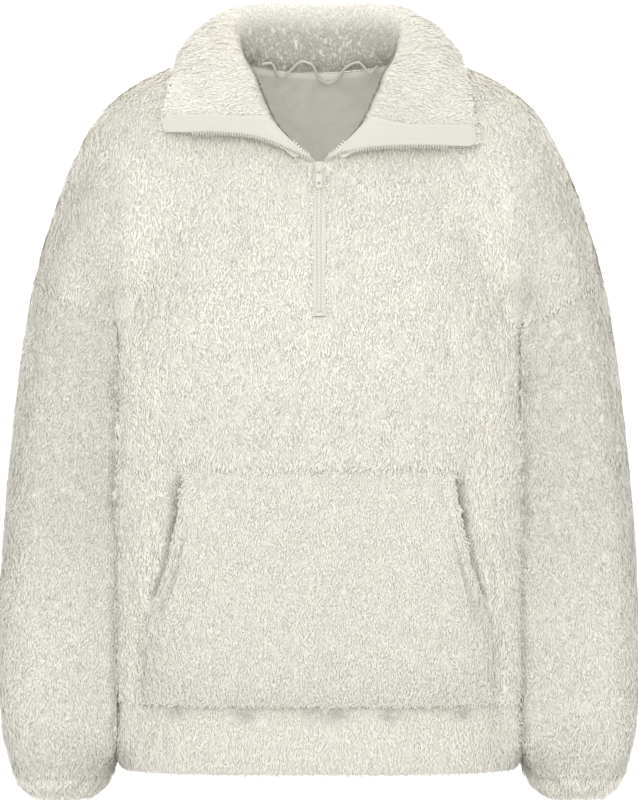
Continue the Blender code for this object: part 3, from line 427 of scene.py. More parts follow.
def sleeveLayers():
    turn = np.linspace(0, 2 * math.pi, 2 * armholeCells, endpoint=False)
    face = np.where(np.sin(turn) >= 0, -1.0, 1.0)
    rings = []
    for drop in sleeveDrops:
        slope = garment["armholeSlope"] * (1 - smoothStep(drop / 0.2))
        x = np.full(turn.shape, 0.25)
        for _ in range(40):
            z = armpitZ - drop + slope * (x - armpitX)
            outer, inner = columnsAt(arm, "outer inner", z)
            x = (x + (outer + inner) / 2 - (outer - inner) / 2 * np.cos(turn)) / 2
        if drop == 0:
            half = armholeXs()
            x = np.concatenate([half, half[-2:0:-1]])
            z = armholeZ(x)
        outer, inner, centre, deep, power = columnsAt(arm, "outer inner centreY halfY power", z)
        across = np.clip(np.abs(2 * x - outer - inner) / (outer - inner), 0, 1)
        rings.append(joined(x, centre + face * (deep * (1 - across ** power) ** (1 / power)), z))
    rings = np.array(rings)
    outer, inner = layers(rings, unit(gradient(rings, armField)))
    for grid in (outer, inner):
        grid[0, :, 2] = np.minimum(grid[0, :, 2], armholeZ(grid[0, :, 0]) - halfGap)
        grid[-1, :, 2] = arm["z"][0] + halfGap
    return outer, inner


# Rings of a gathered band: a superellipse whose outer side rises and falls with the gathers' wave
def bandRings(rings, halfX, ahead, behind, centre, power, count, waves):
    turn = np.linspace(0, 2 * math.pi, count, endpoint=False)
    circle = joined(np.cos(turn), np.sin(turn))
    ring = np.sign(circle) * np.abs(circle) ** (2 / power)
    wave = gatherWave(turn, waves)[:, None]
    outer, inner = [], []
    for k, z in enumerate(rings["z"]):
        halves = joined(halfX[k], np.where(circle[:, 1] < 0, ahead[k], behind[k]))
        flat = ring * halves
        away = unit(flat / halves ** 2)
        level = np.full((count, 1), z)
        shown = centre + flat + away * (rings["rise"][k] * wave - rings["outerCut"][k])
        hidden = centre + flat - away * (clothWall - rings["innerCut"][k])
        outer.append(np.concatenate([shown, level], axis=1))
        inner.append(np.concatenate([hidden, level], axis=1))
    return np.array(outer), np.array(inner)


def hemLayers(count):
    halfX, ahead, behind = columnsAt(trunk, "half front back", hemRings["z"])
    return bandRings(hemRings, halfX, ahead, behind, np.zeros(2), trunk["power"][0], count, 14)


def cuffLayers(count):
    halfX = (arm["outer"][0] - arm["inner"][0]) / 2 + cuffRings["swell"]
    return bandRings(cuffRings, halfX, halfX + 0.003, halfX + 0.003, armEnd, 2.1, count, 11)


# Collar

def neckRim(front, back):
    lines = []
    for ahead, behind in zip(front, back):
        halves = behind[-1, :behind.shape[1] // 2 + 1][::-1], ahead[-1, :ahead.shape[1] // 2]
        lines.append([half[np.abs(half[:, 0]) < neckSide[0] + seamGap] for half in halves])
    return lines


def neckPoints(ts, rims):
    (behind, before), _ = rims
    sideT = collarForm["sideT"]
    backRun, frontRun = lengths(behind, 0), lengths(before, 0)
    backAt = np.clip(ts / sideT, 0, 1) * backRun[-1]
    stop = np.interp(-collarForm["neckStopX"], -before[:, 0], frontRun)
    frontAt = np.clip((ts - sideT) / (1 - sideT), 0, 1) * stop
    rim, rimInner = (np.where((ts < sideT)[:, None], pointsAt(backAt, backRun, back),
                              pointsAt(frontAt, frontRun, front)) for back, front in rims)
    out = unit(rim - rimInner)
    inboard = unit(np.cross(np.gradient(rim, axis=0), out))
    inboard *= np.sign(np.sum(inboard * (np.array([0, -0.03, 0.03]) - rim), axis=1, keepdims=True))
    return rim + inboard * seamGap, rimInner + inboard * seamGap, out, inboard


def restOn(points, need, hold):
    for _ in range(4):
        slope = gradient(points, bodyField)
        distance = bodyField(points) / np.maximum(np.linalg.norm(slope, axis=-1), 0.2)
        lack = need + drape(points) - distance
        points = points + unit(slope) * np.where(lack > 0, lack, lack * hold)[..., None]
    return points


def hermite(start, end, leave, arrive, count):
    t = np.linspace(0, 1, count + 1)[1:, None, None]
    return ((1 + 2 * t) * (1 - t) ** 2 * start + t * (1 - t) ** 2 * leave
            + t * t * (3 - 2 * t) * end + t * t * (t - 1) * arrive)


def collarHalf(ts, rims, lowered):
    turnRadius, half = collarForm["turnRadius"], collarForm["wall"] / 2
    rim, rimInner, out, inboard = neckPoints(ts, rims)
    roll, fall, edge = (np.stack([along(collarRows, part + axis, ts, "t") for axis in "XYZ"], axis=-1)
                        for part in ("roll", "fall", "edge"))
    drop = along(collarRows, "drop", ts, "t") * lowered
    fall[:, 2] -= drop * 0.85
    edge[:, 2] -= drop
    front = rising(ts, 0.46, 0.2)
    start = (rim + rimInner) / 2
    roll = roll + (start + out * 2 * turnRadius - roll) * front[:, None]
    fall = restOn(fall, half + collarForm["fallRest"], front)
    edge = restOn(edge, half + collarForm["edgeRest"], front)
    rise, over, down = size(roll - start), size(fall - roll), size(edge - fall)
    reach = 0.9 * rise + 0.0080
    turn, slant = unit(fall - start), unit(edge - roll)
    angle = np.linspace(0, math.pi, rollRow + 1)[1:, None, None]
    arc = start + (inboard * np.sin(angle) + out * (1 - np.cos(angle))) * turnRadius
    stand = hermite(start, roll, inboard * reach, turn * reach, rollRow)
    path = np.concatenate([
        start[None],
        stand + (arc - stand) * front[:, None],
        hermite(roll, fall, turn * over, slant * over, 3),
        hermite(fall, edge, slant * down, unit(edge - fall) * down, 3),
    ])
    path[rollRow + 1:] = restOn(path[rollRow + 1:], half + collarForm["pathRest"], 0)
    return path, rim, rimInner


# The collar's two faces: the one that shows, from the neck up, over the roll and down to the edge;
# and the other
def collarLayers(rims):
    ts = np.array(collarStations)
    left, rimOut, rimInner = collarHalf(ts, rims, 1)
    right, _, _ = collarHalf(ts, rims, 0)
    middle = np.concatenate([left[:, ::-1], mirrored(right)[:, 1:]], axis=1)
    out = unit(np.cross(np.gradient(middle, axis=1), np.gradient(middle, axis=0)))
    half = np.minimum(clothWall / 2 + 0.0002 * np.arange(middle.shape[0]), collarForm["wall"] / 2)
    half[-1] *= 0.7
    shown = middle + out * half[:, None, None]
    hidden = middle - out * half[:, None, None]
    base = [np.concatenate([side[::-1], mirrored(side)[1:]]) for side in (rimOut, rimInner)]
    if np.sum((shown[1] - hidden[1]) * (base[1] - base[0])) < 0:
        shown, hidden, out = hidden, shown, -out
    hidden[0], shown[0] = base
    return shown, hidden, out


# Grids made finer, and meshes

# Catmull-Rom cubic through the rows of a grid, with a number of new rows for each old one
def refineRows(grid, parts, closed=False):
    if closed:
        padded = np.concatenate([grid[-1:], grid, grid[:2]])
    else:
        padded = np.concatenate([2 * grid[:1] - grid[1:2], grid, 2 * grid[-1:] - grid[-2:-1]])
    t = (np.arange(parts) / parts).reshape((1, parts) + (1,) * (grid.ndim - 1))
    a, b, c, d = (padded[k:len(padded) - 3 + k, None] for k in range(4))
    between = b + t / 2 * (c - a + t * (2 * a - 5 * b + 4 * c - d + t * (3 * (b - c) + d - a)))
    fine = between.reshape((-1,) + grid.shape[1:])
    return fine if closed else np.concatenate([fine, grid[-1:]])


def refine(grid, parts, closed=False):
    fine = refineRows(grid, parts)
    return np.swapaxes(refineRows(np.swapaxes(fine, 0, 1), parts, closed), 0, 1)


# Values of a grid within its cells: linear both ways
def withinCells(grid, i, j, v, u):
    return ((1 - v) * ((1 - u) * grid[i, j] + u * grid[i, j + 1])
            + v * ((1 - u) * grid[i + 1, j] + u * grid[i + 1, j + 1]))


# The same at fractional rows and columns of a grid, and at fractional places of a line
def gridAt(grid, row, column):
    i = np.clip(row.astype(int), 0, grid.shape[0] - 2)
    j = np.clip(column.astype(int), 0, grid.shape[1] - 2)
    return withinCells(grid, i, j, (row - i)[..., None], (column - j)[..., None])


def lineAt(line, at):
    return gridAt(line[:, None].repeat(2, axis=1), at, at * 0)


# Seeded values at the corners of a cubic lattice, blended smoothly in between
def latticeNoise(points, pitch, seed):
    values = np.random.default_rng(seed).uniform(-1, 1, (32, 32, 32))
    low = np.floor(points / pitch).astype(int)
    share = smoothStep(points / pitch - low)
    total = np.zeros(points.shape[:-1])
    for corner in np.ndindex(2, 2, 2):
        at = (low + corner) % 32
        weight = np.prod(np.where(np.array(corner), share, 1 - share), axis=-1)
        total += weight * values[at[..., 0], at[..., 1], at[..., 2]]
    return total


def addObject(name, data):
    made = bpy.data.objects.new(name, data)
    scene.collection.objects.link(made)
    return made


# A mesh with its look, as an object that rides on a body
def placePiece(name, data, look, body="pullover"):
    data.materials.clear()
    data.materials.append(look)
    made = addObject(name, data)
    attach(made, body)
    return made


# Points and faces of any one size into a piece
def makePiece(name, points, faces, look, smooth=True):
    points, faces = np.asarray(points, float).reshape(-1, 3), np.asarray(faces)
    data = bpy.data.meshes.new(name)
    data.vertices.add(len(points))
    data.vertices.foreach_set("co", points.astype(np.float32).ravel())
    data.loops.add(faces.size)
    data.loops.foreach_set("vertex_index", faces.astype(np.int32).ravel())
    data.polygons.add(len(faces))
    data.polygons.foreach_set("loop_start", np.arange(0, faces.size, faces.shape[1], dtype=np.int32))
    data.polygons.foreach_set("use_smooth", np.full(len(faces), smooth))
    data.update(calc_edges=True)
    return placePiece(name, data, look)


def setMap(piece, name, values):
    layer = piece.data.uv_layers.new(name=name)
    corner = np.zeros(len(piece.data.loops), np.int32)
    piece.data.loops.foreach_get("vertex_index", corner)
    layer.uv.foreach_set("vector", values[corner].astype(np.float32).ravel())


# Cloth with two sides: quads over both grids and a rim along every edge where a kept cell has no neighbour
def clothPiece(name, outer, inner, look, closed=False, keep=None):
    rows, columns = outer.shape[:2]
    under = rows * columns
    keep = np.ones((rows - 1, columns if closed else columns - 1), bool) if keep is None else keep
    i, j = np.nonzero(keep)
    right = (j + 1) % columns
    corners = [i * columns + j, i * columns + right, (i + 1) * columns + right, (i + 1) * columns + j]
    normal = np.cross(outer[i, right] - outer[i, j], outer[i + 1, j] - outer[i, j])
    if np.sum(normal * (outer - inner)[i, j]) < 0:
        corners = corners[::-1]
    quads = np.stack(corners, axis=-1)
    edges = np.concatenate([quads[:, [k, (k + 1) % 4]] for k in range(4)]).astype(np.int64)
    rim = edges[~np.isin(edges[:, 0] * under + edges[:, 1], edges[:, 1] * under + edges[:, 0])]
    sides = np.stack([rim[:, 1], rim[:, 0], rim[:, 0] + under, rim[:, 1] + under], axis=-1)
    faces = np.concatenate([quads, quads[:, ::-1] + under, sides])
    points = np.concatenate([outer.reshape(-1, 3), inner.reshape(-1, 3)])
    flat = np.stack([lengths(outer, 1), lengths(outer, 0)], axis=-1).reshape(-1, 2)
    used, index = np.unique(faces, return_inverse=True)
    piece = makePiece(name, points[used], index.reshape(faces.shape), look)
    setMap(piece, "cloth", np.concatenate([flat, flat])[used])
    return piece


pile = {
    "density": 290000.0,                              # tufts for each square metre
    "long": 0.0056, "wide": 0.0016,                   # along the cloth and across
    "least": 0.7, "vary": 0.6,                        # of both, from tuft to tuft
    "sink": 0.0020,                                   # of the backing under the fleece's outer surface
    "rise": 0.0021, "riseLeast": 0.75, "riseVary": 0.35, "riseClump": 0.25,    # of the tips over the backing
    "lean": 0.4,                                      # share of the form's own direction in a tuft's
    "swirl": 0.60, "swirlPitch": 0.016, "widePitch": 2.7, "turn": 0.13,
    "clump": 0.0016, "clumpPitch": 0.0075,
    "most": 90000,                                    # tufts of one piece
    "mapCells": 301,                                  # of a piece's bake map, each way
}
# A tuft's four points: how far along it, to which side and how high
tuftSpan = np.array([0.0, 0.45, 0.45, 1.0])
tuftSide = np.array([0.0, -1.0, 1.0, 0.0])
tuftRise = np.array([0.0, 0.80, 0.80, 1.0])
tuftFaces = np.array([[0, 2, 1], [1, 2, 3]])


# Tufts on a grid. Each is a kite of two triangles from its root on the backing, bent over to lie along
# the flow, turned by noise and drawn at its tip towards the ridges of a finer noise
def growPile(name, backing, out, flow, weight, short, tall, paintedShade, lookName, seed, closed=False):
    grids = backing, out, flow, short, tall, paintedShade
    if closed:
        grids = [np.concatenate([grid, grid[:, :1]], axis=1) for grid in grids]
    backing, out = grids[:2]
    side = np.cross(backing[1:, 1:] - backing[:-1, :-1], backing[1:, :-1] - backing[:-1, 1:])
    area = np.linalg.norm(side, axis=-1) / 2 * weight
    run = np.cumsum(area.ravel()) * pile["density"]
    counts = np.diff(np.floor(np.concatenate([[0], run]))).astype(int)
    rows, columns = np.divmod(np.repeat(np.arange(area.size), counts), area.shape[1])
    total = len(rows)
    rng = np.random.default_rng(seed)
    v, u = rng.random((2, total, 1))

    def noise(places, pitch, draw):
        return latticeNoise(places, pitch, seed + draw)[:, None]

    def varied():
        return pile["least"] + pile["vary"] * rng.random((total, 1))

    root, outside, way, cut, tall, paintedShade = (
        withinCells(grid if grid.ndim == 3 else grid[..., None], rows, columns, v, u) for grid in grids)
    facing = unit(side)
    facing *= np.sign(np.sum(facing * out[:-1, :-1], axis=-1, keepdims=True))
    up = unit(facing[rows, columns] + pile["lean"] * unit(outside))
    way = squared(way, up)
    beside = np.cross(way, up)
    turn = (pile["swirl"] * noise(root, pile["swirlPitch"], 1)
            + 0.5 * pile["swirl"] * noise(root, pile["widePitch"] * pile["swirlPitch"], 2)
            + rng.normal(0, pile["turn"], total)[:, None])
    way, beside = way * np.cos(turn) + beside * np.sin(turn), beside * np.cos(turn) - way * np.sin(turn)
    pitch = pile["clumpPitch"]
    level = noise(root, pitch, 3)
    pull = (noise(root + beside * (pitch / 4), pitch, 3) - level) * 4
    long = pile["long"] * varied() * cut
    high = pile["riseLeast"] + pile["riseVary"] * rng.random((total, 1)) + pile["riseClump"] * level
    high = pile["rise"] * high * cut * tall
    wide = pile["wide"] / 2 * varied()
    spread = np.clip(pull, -1, 1) * pile["clump"]
    points = (root[:, None] + way[:, None] * (long * tuftSpan)[..., None]
              + up[:, None] * (high * tuftRise)[..., None]
              + beside[:, None] * (wide * tuftSide + spread * tuftSpan ** 1.5)[..., None])
    normal = unit(up[:, None] + 0.45 * beside[:, None] * tuftSide[:, None]
                  + 0.25 * way[:, None] * (tuftSpan[:, None] - 0.4)
                  + 0.22 * pull[:, :, None] * beside[:, None])
    # Each tuft's strand colour: a random tone, its place from root to tip, its clump's tone, and in alpha the
    # painted light and shade that its piece sets
    toneAndShade = joined(rng.random((total, 1)), tuftSpan, 0.5 + 0.5 * level, paintedShade)
    pieces, parts = [], math.ceil(total / pile["most"])
    for part in range(parts):
        chosen = slice(part * total // parts, (part + 1) * total // parts)
        tufts = points[chosen]
        faces = (np.arange(len(tufts))[:, None, None] * len(tuftSpan) + tuftFaces).reshape(-1, 3)
        ending = f"_{part + 1}" if parts > 1 else ""
        piece = makePiece(name + ending, tufts, faces, looks[lookName])
        cell = np.stack(np.divmod(np.arange(len(tufts)), pile["mapCells"])[::-1], axis=-1)[:, None]
        corner = joined(0.5 + 0.38 * tuftSide, 0.12 + 0.76 * tuftSpan)
        setMap(piece, "OFBake", ((cell + corner) / pile["mapCells"]).reshape(-1, 2))
        strand = piece.data.color_attributes.new("strand", "FLOAT_COLOR", "POINT")
        strand.data.foreach_set("color", toneAndShade[chosen].astype(np.float32).ravel())
        piece.data.normals_split_custom_set_from_vertices(normal[chosen].reshape(-1, 3))
        pieces.append(piece)
    print(name, total, "tufts")
    return pieces


# Materials. A group's sockets: three numbers are a vector and four a colour
def newGroup(name, inputs, outputs):
    group = bpy.data.node_groups.new(name, "ShaderNodeTree")
    for socketName, value in inputs.items():
        kind = "Float" if isinstance(value, float) else {3: "Vector", 4: "Color"}[len(value)]
        socket = group.interface.new_socket(socketName, in_out="INPUT", socket_type="NodeSocket" + kind)
        socket.default_value = value
    for socketName in outputs:
        kind = "Color" if socketName == "Colour" else "Float"
        group.interface.new_socket(socketName, in_out="OUTPUT", socket_type="NodeSocket" + kind)
    return group, group.nodes.new("NodeGroupInput").outputs, group.nodes.new("NodeGroupOutput").inputs


# Each input takes a plain value or a link
def feed(tree, sockets, values):
    for socket, value in zip(sockets, values):
        if isinstance(value, (int, float, tuple)):
            socket.default_value = value
        elif value is not None:
            tree.links.new(value, socket)


def mathNode(tree, operation, first, second=None):
    node = tree.nodes.new("ShaderNodeMath")
    node.operation = operation
    feed(tree, node.inputs, (first, second))
    return node.outputs[0]


# A value's distance from a middle, times a spread
def offsetNode(tree, value, middle, spread):
    return mathNode(tree, "MULTIPLY", mathNode(tree, "SUBTRACT", value, middle), spread)


def vectorNode(tree, operation, first, second):
    node = tree.nodes.new("ShaderNodeVectorMath")
    node.operation = operation
    feed(tree, node.inputs, (first, second))
    return node.outputs[0]


def mixColours(tree, share, first, second, blend="MIX"):
    node = tree.nodes.new("ShaderNodeMix")
    node.data_type = "RGBA"
    node.blend_type = blend
    feed(tree, (node.inputs[0], node.inputs[6], node.inputs[7]), (share, first, second))
    return node.outputs[2]


# A colour times a grey level
def shaded(tree, colour, level):
    grey = tree.nodes.new("ShaderNodeCombineColor")
    feed(tree, grey.inputs[:3], (level, level, level))
    return mixColours(tree, 1.0, colour, grey.outputs[0], "MULTIPLY")


def noiseNode(tree, place, scale, detail=2.0, output="Fac"):
    node = tree.nodes.new("ShaderNodeTexNoise")
    node.inputs["Scale"].default_value = scale
    node.inputs["Detail"].default_value = detail
    tree.links.new(place, node.inputs["Vector"])
    return node.outputs[output]


def ownPlace(tree):
    return tree.nodes.new("ShaderNodeTexCoord").outputs["Object"]


# Pile's colour: dark at the roots as painted shade under the tufts over them, paler at the tips, each tuft
# and each clump a little different, with fine painted shade in partings where a noise drawn out along the
# comb is low, and soft patches over the whole cloth; the strand's alpha scales it with the painted light and
# shade each piece sets
def pileToneGroup():
    group, given, result = newGroup("pileTone", {
        "Tip": (0.8, 0.8, 0.7, 1), "Root": (0.5, 0.5, 0.4, 1), "Tuft Spread": 0.1, "Patch Spread": 0.04,
        "Stroke Spread": 0.6, "Strokes": (950, 950, 240), "Curl": (0.012, 0.012, 0.012),
    }, ("Colour", "Height"))
    strand = group.nodes.new("ShaderNodeAttribute")
    strand.attribute_name = "strand"
    parts = group.nodes.new("ShaderNodeSeparateColor")
    group.links.new(strand.outputs["Color"], parts.inputs[0])
    place = ownPlace(group)
    curl = vectorNode(group, "MULTIPLY", noiseNode(group, place, 55.0, 1.0, "Color"), given["Curl"])
    drawn = vectorNode(group, "MULTIPLY", vectorNode(group, "ADD", place, curl), given["Strokes"])
    strokes = noiseNode(group, drawn, 1.0)
    partingShade = offsetNode(group, mathNode(group, "MINIMUM", strokes, 0.5), 0.5, 2.0)
    both = mathNode(group, "ADD", partingShade, mathNode(group, "MULTIPLY", strokes, 0.25))
    fine = offsetNode(group, both, 0.055, given["Stroke Spread"])
    tuft = offsetNode(group, parts.outputs[0], 0.5, given["Tuft Spread"])
    clump = offsetNode(group, parts.outputs[2], 0.5, mathNode(group, "MULTIPLY", given["Tuft Spread"], 0.8))
    patch = offsetNode(group, noiseNode(group, place, 34.0), 0.5, given["Patch Spread"])
    level = mathNode(group, "ADD", mathNode(group, "ADD", tuft, clump), mathNode(group, "ADD", patch, 1.0))
    level = mathNode(group, "MULTIPLY", mathNode(group, "ADD", level, fine), strand.outputs["Alpha"])
    tipShare = mathNode(group, "POWER", parts.outputs[1], 0.55)
    base = mixColours(group, tipShare, given["Root"], given["Tip"])
    feed(group, result, (shaded(group, base, level), strokes))
    return group


# Knit back of the fleece: fine ribs and courses from two sine waves on the cloth's own map
def knitGroup():
    group, given, result = newGroup("knitBack", {
        "Colour": (0.5, 0.5, 0.4, 1), "Pitch": 0.0012, "Spread": 0.12,
    }, ("Colour", "Height"))
    place = group.nodes.new("ShaderNodeUVMap")
    place.uv_map = "cloth"
    axes = group.nodes.new("ShaderNodeSeparateXYZ")
    group.links.new(place.outputs[0], axes.inputs[0])
    rate = mathNode(group, "DIVIDE", 6.2832, given["Pitch"])
    ribs, courses = (mathNode(group, "SINE", mathNode(group, "MULTIPLY", axes.outputs[k], rate))
                     for k in range(2))
    waves = mathNode(group, "MULTIPLY", mathNode(group, "ADD", ribs, courses), 0.25)
    height = mathNode(group, "ADD", 0.5, waves)
    rough = noiseNode(group, ownPlace(group), 90.0, 4.0)
    level = mathNode(group, "ADD", mathNode(group, "SUBTRACT", height, 0.5),
                     mathNode(group, "SUBTRACT", rough, 0.5))
    level = mathNode(group, "ADD", 1.0, mathNode(group, "MULTIPLY", level, given["Spread"]))
    feed(group, result, (shaded(group, given["Colour"], level), height))
    return group


# Moulded plastic: faint cloudiness in colour and gloss
def mouldedGroup():
    group, given, result = newGroup("moulded", {"Colour": (0.8, 0.8, 0.7, 1), "Roughness": 0.4},
                                    ("Colour", "Roughness", "Height"))
    place = ownPlace(group)
    cloud, grain = noiseNode(group, place, 260.0, 3.0), noiseNode(group, place, 1500.0, 2.0)
    level = mathNode(group, "ADD", 0.95, mathNode(group, "MULTIPLY", cloud, 0.1))
    gloss = mathNode(group, "ADD", given["Roughness"], mathNode(group, "MULTIPLY", grain, 0.12))
    feed(group, result, (shaded(group, given["Colour"], level), gloss, grain))
    return group


groups = {"pile": pileToneGroup(), "knit": knitGroup(), "moulded": mouldedGroup()}


def newLook(name, roughness, sheen=0.0, specular=0.2):
    look = bpy.data.materials.new(name)
    look.use_nodes = True
    shader = look.node_tree.nodes["Principled BSDF"]
    for socketName, value in (("Roughness", roughness), ("Specular IOR Level", specular),
                              ("Sheen Weight", sheen), ("Sheen Roughness", 0.6)):
        shader.inputs[socketName].default_value = value
    return look, look.node_tree, shader


# A material whose colour and bump come from one of the groups
def groupLook(name, kind, values, roughness, bumpDistance, bumpStrength, sheen=0.0, specular=0.2):
    look, tree, shader = newLook(name, roughness, sheen, specular)
    node, bump = tree.nodes.new("ShaderNodeGroup"), tree.nodes.new("ShaderNodeBump")
    node.node_tree = groups[kind]
    for socketName, value in values.items():
        node.inputs[socketName].default_value = value
    bump.inputs["Distance"].default_value = bumpDistance
    bump.inputs["Strength"].default_value = bumpStrength
    tree.links.new(node.outputs["Height"], bump.inputs["Height"])
    tree.links.new(bump.outputs[0], shader.inputs["Normal"])
    tree.links.new(node.outputs["Colour"], shader.inputs["Base Color"])
    if "Roughness" in values:
        tree.links.new(node.outputs["Roughness"], shader.inputs["Roughness"])
    return look


def pileLook(name, tip, root, strokes=(950, 950, 240), curl=0.012, strokeSpread=0.6, tuftSpread=0.10,
             patchSpread=0.05):
    values = {"Tip": (*tip, 1), "Root": (*root, 1), "Tuft Spread": tuftSpread, "Patch Spread": patchSpread,
              "Stroke Spread": strokeSpread, "Strokes": strokes, "Curl": (curl, curl, curl)}
    return groupLook(name, "pile", values, 0.95, 0.0005, 0.7, 0.12)


def knitLook(name, colour, pitch, spread, roughness=0.9, bump=0.0002):
    values = {"Colour": (*colour, 1), "Pitch": pitch, "Spread": spread}
    return groupLook(name, "knit", values, roughness, bump, 0.5, 0.08)


def mouldedLook(name, colour, roughness):
    values = {"Colour": (*colour, 1), "Roughness": roughness}
    return groupLook(name, "moulded", values, roughness, 0.00005, 0.4, specular=0.45)


looks = {
    "backing": knitLook("fleece back", (0.90, 0.88, 0.81), 0.0013, 0.26),
    "bodyPile": pileLook("body pile", (0.945, 0.92, 0.835), (0.78, 0.75, 0.67), (690, 690, 140), 0.014,
                         0.85, 0.07, 0.16),
    "sleevePile": pileLook("sleeve pile", (0.92, 0.895, 0.81), (0.74, 0.71, 0.63), (800, 800, 200), 0.016,
                           0.9),
    "pocketPile": pileLook("pocket pile", (0.93, 0.905, 0.82), (0.73, 0.70, 0.61), (950, 950, 420), 0.022,
                           0.8),
    "bandPile": pileLook("band pile", (0.92, 0.895, 0.81), (0.76, 0.73, 0.64), (950, 950, 320)),
    "collarPile": pileLook("collar pile", (0.94, 0.915, 0.84), (0.78, 0.75, 0.67), (240, 950, 950)),
    # One tape in two copies, darker on the lapels and paler where it is sunk in the slit, as painted light
    # and shade; the open teeth are the chain's plastic made darker, as painted shade
    "tape": knitLook("zip tape", (0.72, 0.70, 0.63), 0.0009, 0.05, 0.7, 0.00012),
    "chainTape": knitLook("closed zip tape", (0.79, 0.77, 0.70), 0.0009, 0.05, 0.7, 0.00012),
    "plastic": mouldedLook("zip plastic", (0.82, 0.80, 0.72), 0.38),
    "slider": mouldedLook("slider plastic", (0.755, 0.735, 0.66), 0.42),
    "shadedTeeth": mouldedLook("open teeth shaded", (0.66, 0.64, 0.57), 0.42),
    "piping": knitLook("neck binding", (0.80, 0.78, 0.71), 0.0008, 0.15),
}
print("materials made")

fineness = 3               # new rows and columns of the cloth for each of the solids' rows


def solidRows(grid):
    return np.arange(grid.shape[0])[:, None] / fineness


def finer(cells):
    return cells.repeat(fineness, axis=0).repeat(fineness, axis=1)


# How near a point is to a seam: one on it, zero a few millimetres away
def seamNear(distance, reach=0.007):
    return bell(distance, 0, reach)


def seamDistance(grid, sides):
    down, across = lengths(grid, 0), lengths(grid, 1)
    ways = {"low": down, "high": down[-1:] - down, "first": across, "last": across[:, -1:] - across}
    return np.min([ways[side] for side in sides.split()], axis=0)


def constantFlow(grid, way):
    return np.broadcast_to(np.array(way, float), grid.shape).copy()


# Vectors away from the middle plane, of a length for each point
def sideways(grid, amount):
    return np.sign(grid[..., :1]) * np.array([1.0, 0, 0]) * amount[..., None]


# The left, as worked out, and the right as its mirror image
def bothSides(*grids):
    return ("left", grids), ("right", [mirrored(grid) for grid in grids])


# How far the cloth faces sideways rather than forward or back, for painted light on the pile round the
# shoulders' sides
def facingSideways(out):
    return falling(np.abs(out[..., 1]), 0.70, 0.50)


# The crease between body and sleeve: the plane and blend where both touch, what their pile does there, and
# the painted shade along it: turn where the body turns into the crease, line a thin painted shadow where both
# touch
crease = {
    "meetX": 0.2003, "blend": 0.050, "lap": 0.0018, "most": 0.026,
    "reach": 0.007, "top": (armpitZ + 0.004, 0.012), "foot": (-0.700, 0.030),
    "inFlow": 0.5, "seamless": 0.8, "trough": 0.0006,
    "turnReach": 0.016, "turnTop": (armpitZ - 0.010, 0.05), "turnShade": 0.23, "turnLess": 0.55,
    "lower": (-0.44, 0.12), "lineX": (-0.001, 0.005), "lineShade": 0.05, "lineLower": 0.17,
}


# Backing and pile for one panel: the backing lies under the solids' outer side, deeper beside its seams
def clothAndPile(name, nodeName, outer, inner, flow, lookName, seed, near, weight=None, keep=None,
                 closed=False, cutShare=0.55, trough=0.0, paintedShade=1.0, tall=1.0, out=None, long=1.0):
    out = unit(outer - inner) if out is None else out
    soft = 0.0007 * latticeNoise(outer, 0.021, seed + 9) + 0.0004 * latticeNoise(outer, 0.009, seed + 10)
    x, z = np.abs(outer[..., 0]) - crease["meetX"], outer[..., 2]
    touching = bell(x, 0, crease["reach"]) * falling(z, *crease["top"])
    touching = touching * rising(z, *crease["foot"])
    bridging = touching * (x < 0)
    flow = unit(flow) + sideways(outer, crease["inFlow"] * bridging)
    near = near * (1 - crease["seamless"] * touching)
    trough = trough - crease["trough"] * bridging
    # Painted shade along the crease: broad where the body turns into it, and a thin painted shadow line where
    # body and sleeve touch, darker lower down
    lower = falling(z, *crease["lower"])
    turning = bell(x, 0, crease["turnReach"]) * (x < 0) * falling(z, *crease["turnTop"])
    line = (crease["lineShade"] + crease["lineLower"] * lower) * bell(x, *crease["lineX"]) * (touching > 0.01)
    turned = crease["turnShade"] * turning * (1 - crease["turnLess"] * lower) * (z > crease["foot"][0])
    paintedShade = paintedShade * (1 - turned - line)
    backing = outer - out * (pile["sink"] * (1 - 0.9 * touching) + 0.0012 * near + trough - soft)[..., None]
    cloth = clothPiece(name, backing, inner, looks["backing"], closed, keep)
    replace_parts(cloth, nodeName)
    cells = np.ones((outer.shape[0] - 1, outer.shape[1] - (0 if closed else 1)))
    for share in (keep, weight):
        cells = cells if share is None else cells * share
    length = long * (1 - cutShare * near) * (1 + 0.2 * bridging)
    height = tall + 0.2 * touching + 0.2 * bridging
    tufts = growPile(name + "_pile", backing, out, flow, cells, length, height, paintedShade * np.ones(x.shape),
                     lookName, seed, closed)
    return cloth, tufts


# Cloth in the crease between body and sleeve, moved out to a softly blended surface of both forms, by at
# most 26 mm, and kept by its own side of the plane where they meet, but for a narrow lap
def nestled(outer, inner, own):
    def blended(points):
        return blendedField(points, crease["blend"])

    z, meetX = outer[..., 2], crease["meetX"]
    reach = (falling(z, armpitZ + 0.040, 0.045) * rising(z, -0.688, 0.035)
             * rising(np.abs(outer[..., 1]), 0.02, 0.03))
    level = np.maximum(np.minimum(trunkField(outer), armField(outer)), -0.001)
    moved = outer.copy()
    for _ in range(5):
        slope = gradient(moved, blended)
        gap = (level - blended(moved)) / np.maximum(np.linalg.norm(slope, axis=-1), 0.5)
        moved = moved + unit(slope) * np.maximum(gap, 0)[..., None]
    shift = moved - outer
    shift = shift * np.minimum(1, crease["most"] / np.maximum(size(shift), 1e-9)) * reach[..., None]
    moved = outer + shift
    turned = smoothStep(size(shift) / 0.004)
    held, across = np.abs(outer[..., 0]), np.abs(moved[..., 0])
    plane = meetX - own * crease["lap"]
    drawn = falling(np.abs(across - meetX), 0.008, 0.006) * rising(z, -0.48, 0.06) * turned[..., 0]
    across = across + (plane - across) * drawn
    kept = np.where(own * (held - plane) > 0, own * np.maximum(own * across, own * plane), held)
    moved[..., 0] = np.sign(outer[..., 0]) * np.where(z < armpitZ + 0.001, kept, across)
    out = unit(unit(outer - inner) * (1 - turned) + unit(gradient(moved, blended)) * turned)
    return moved, inner + (moved - outer), out
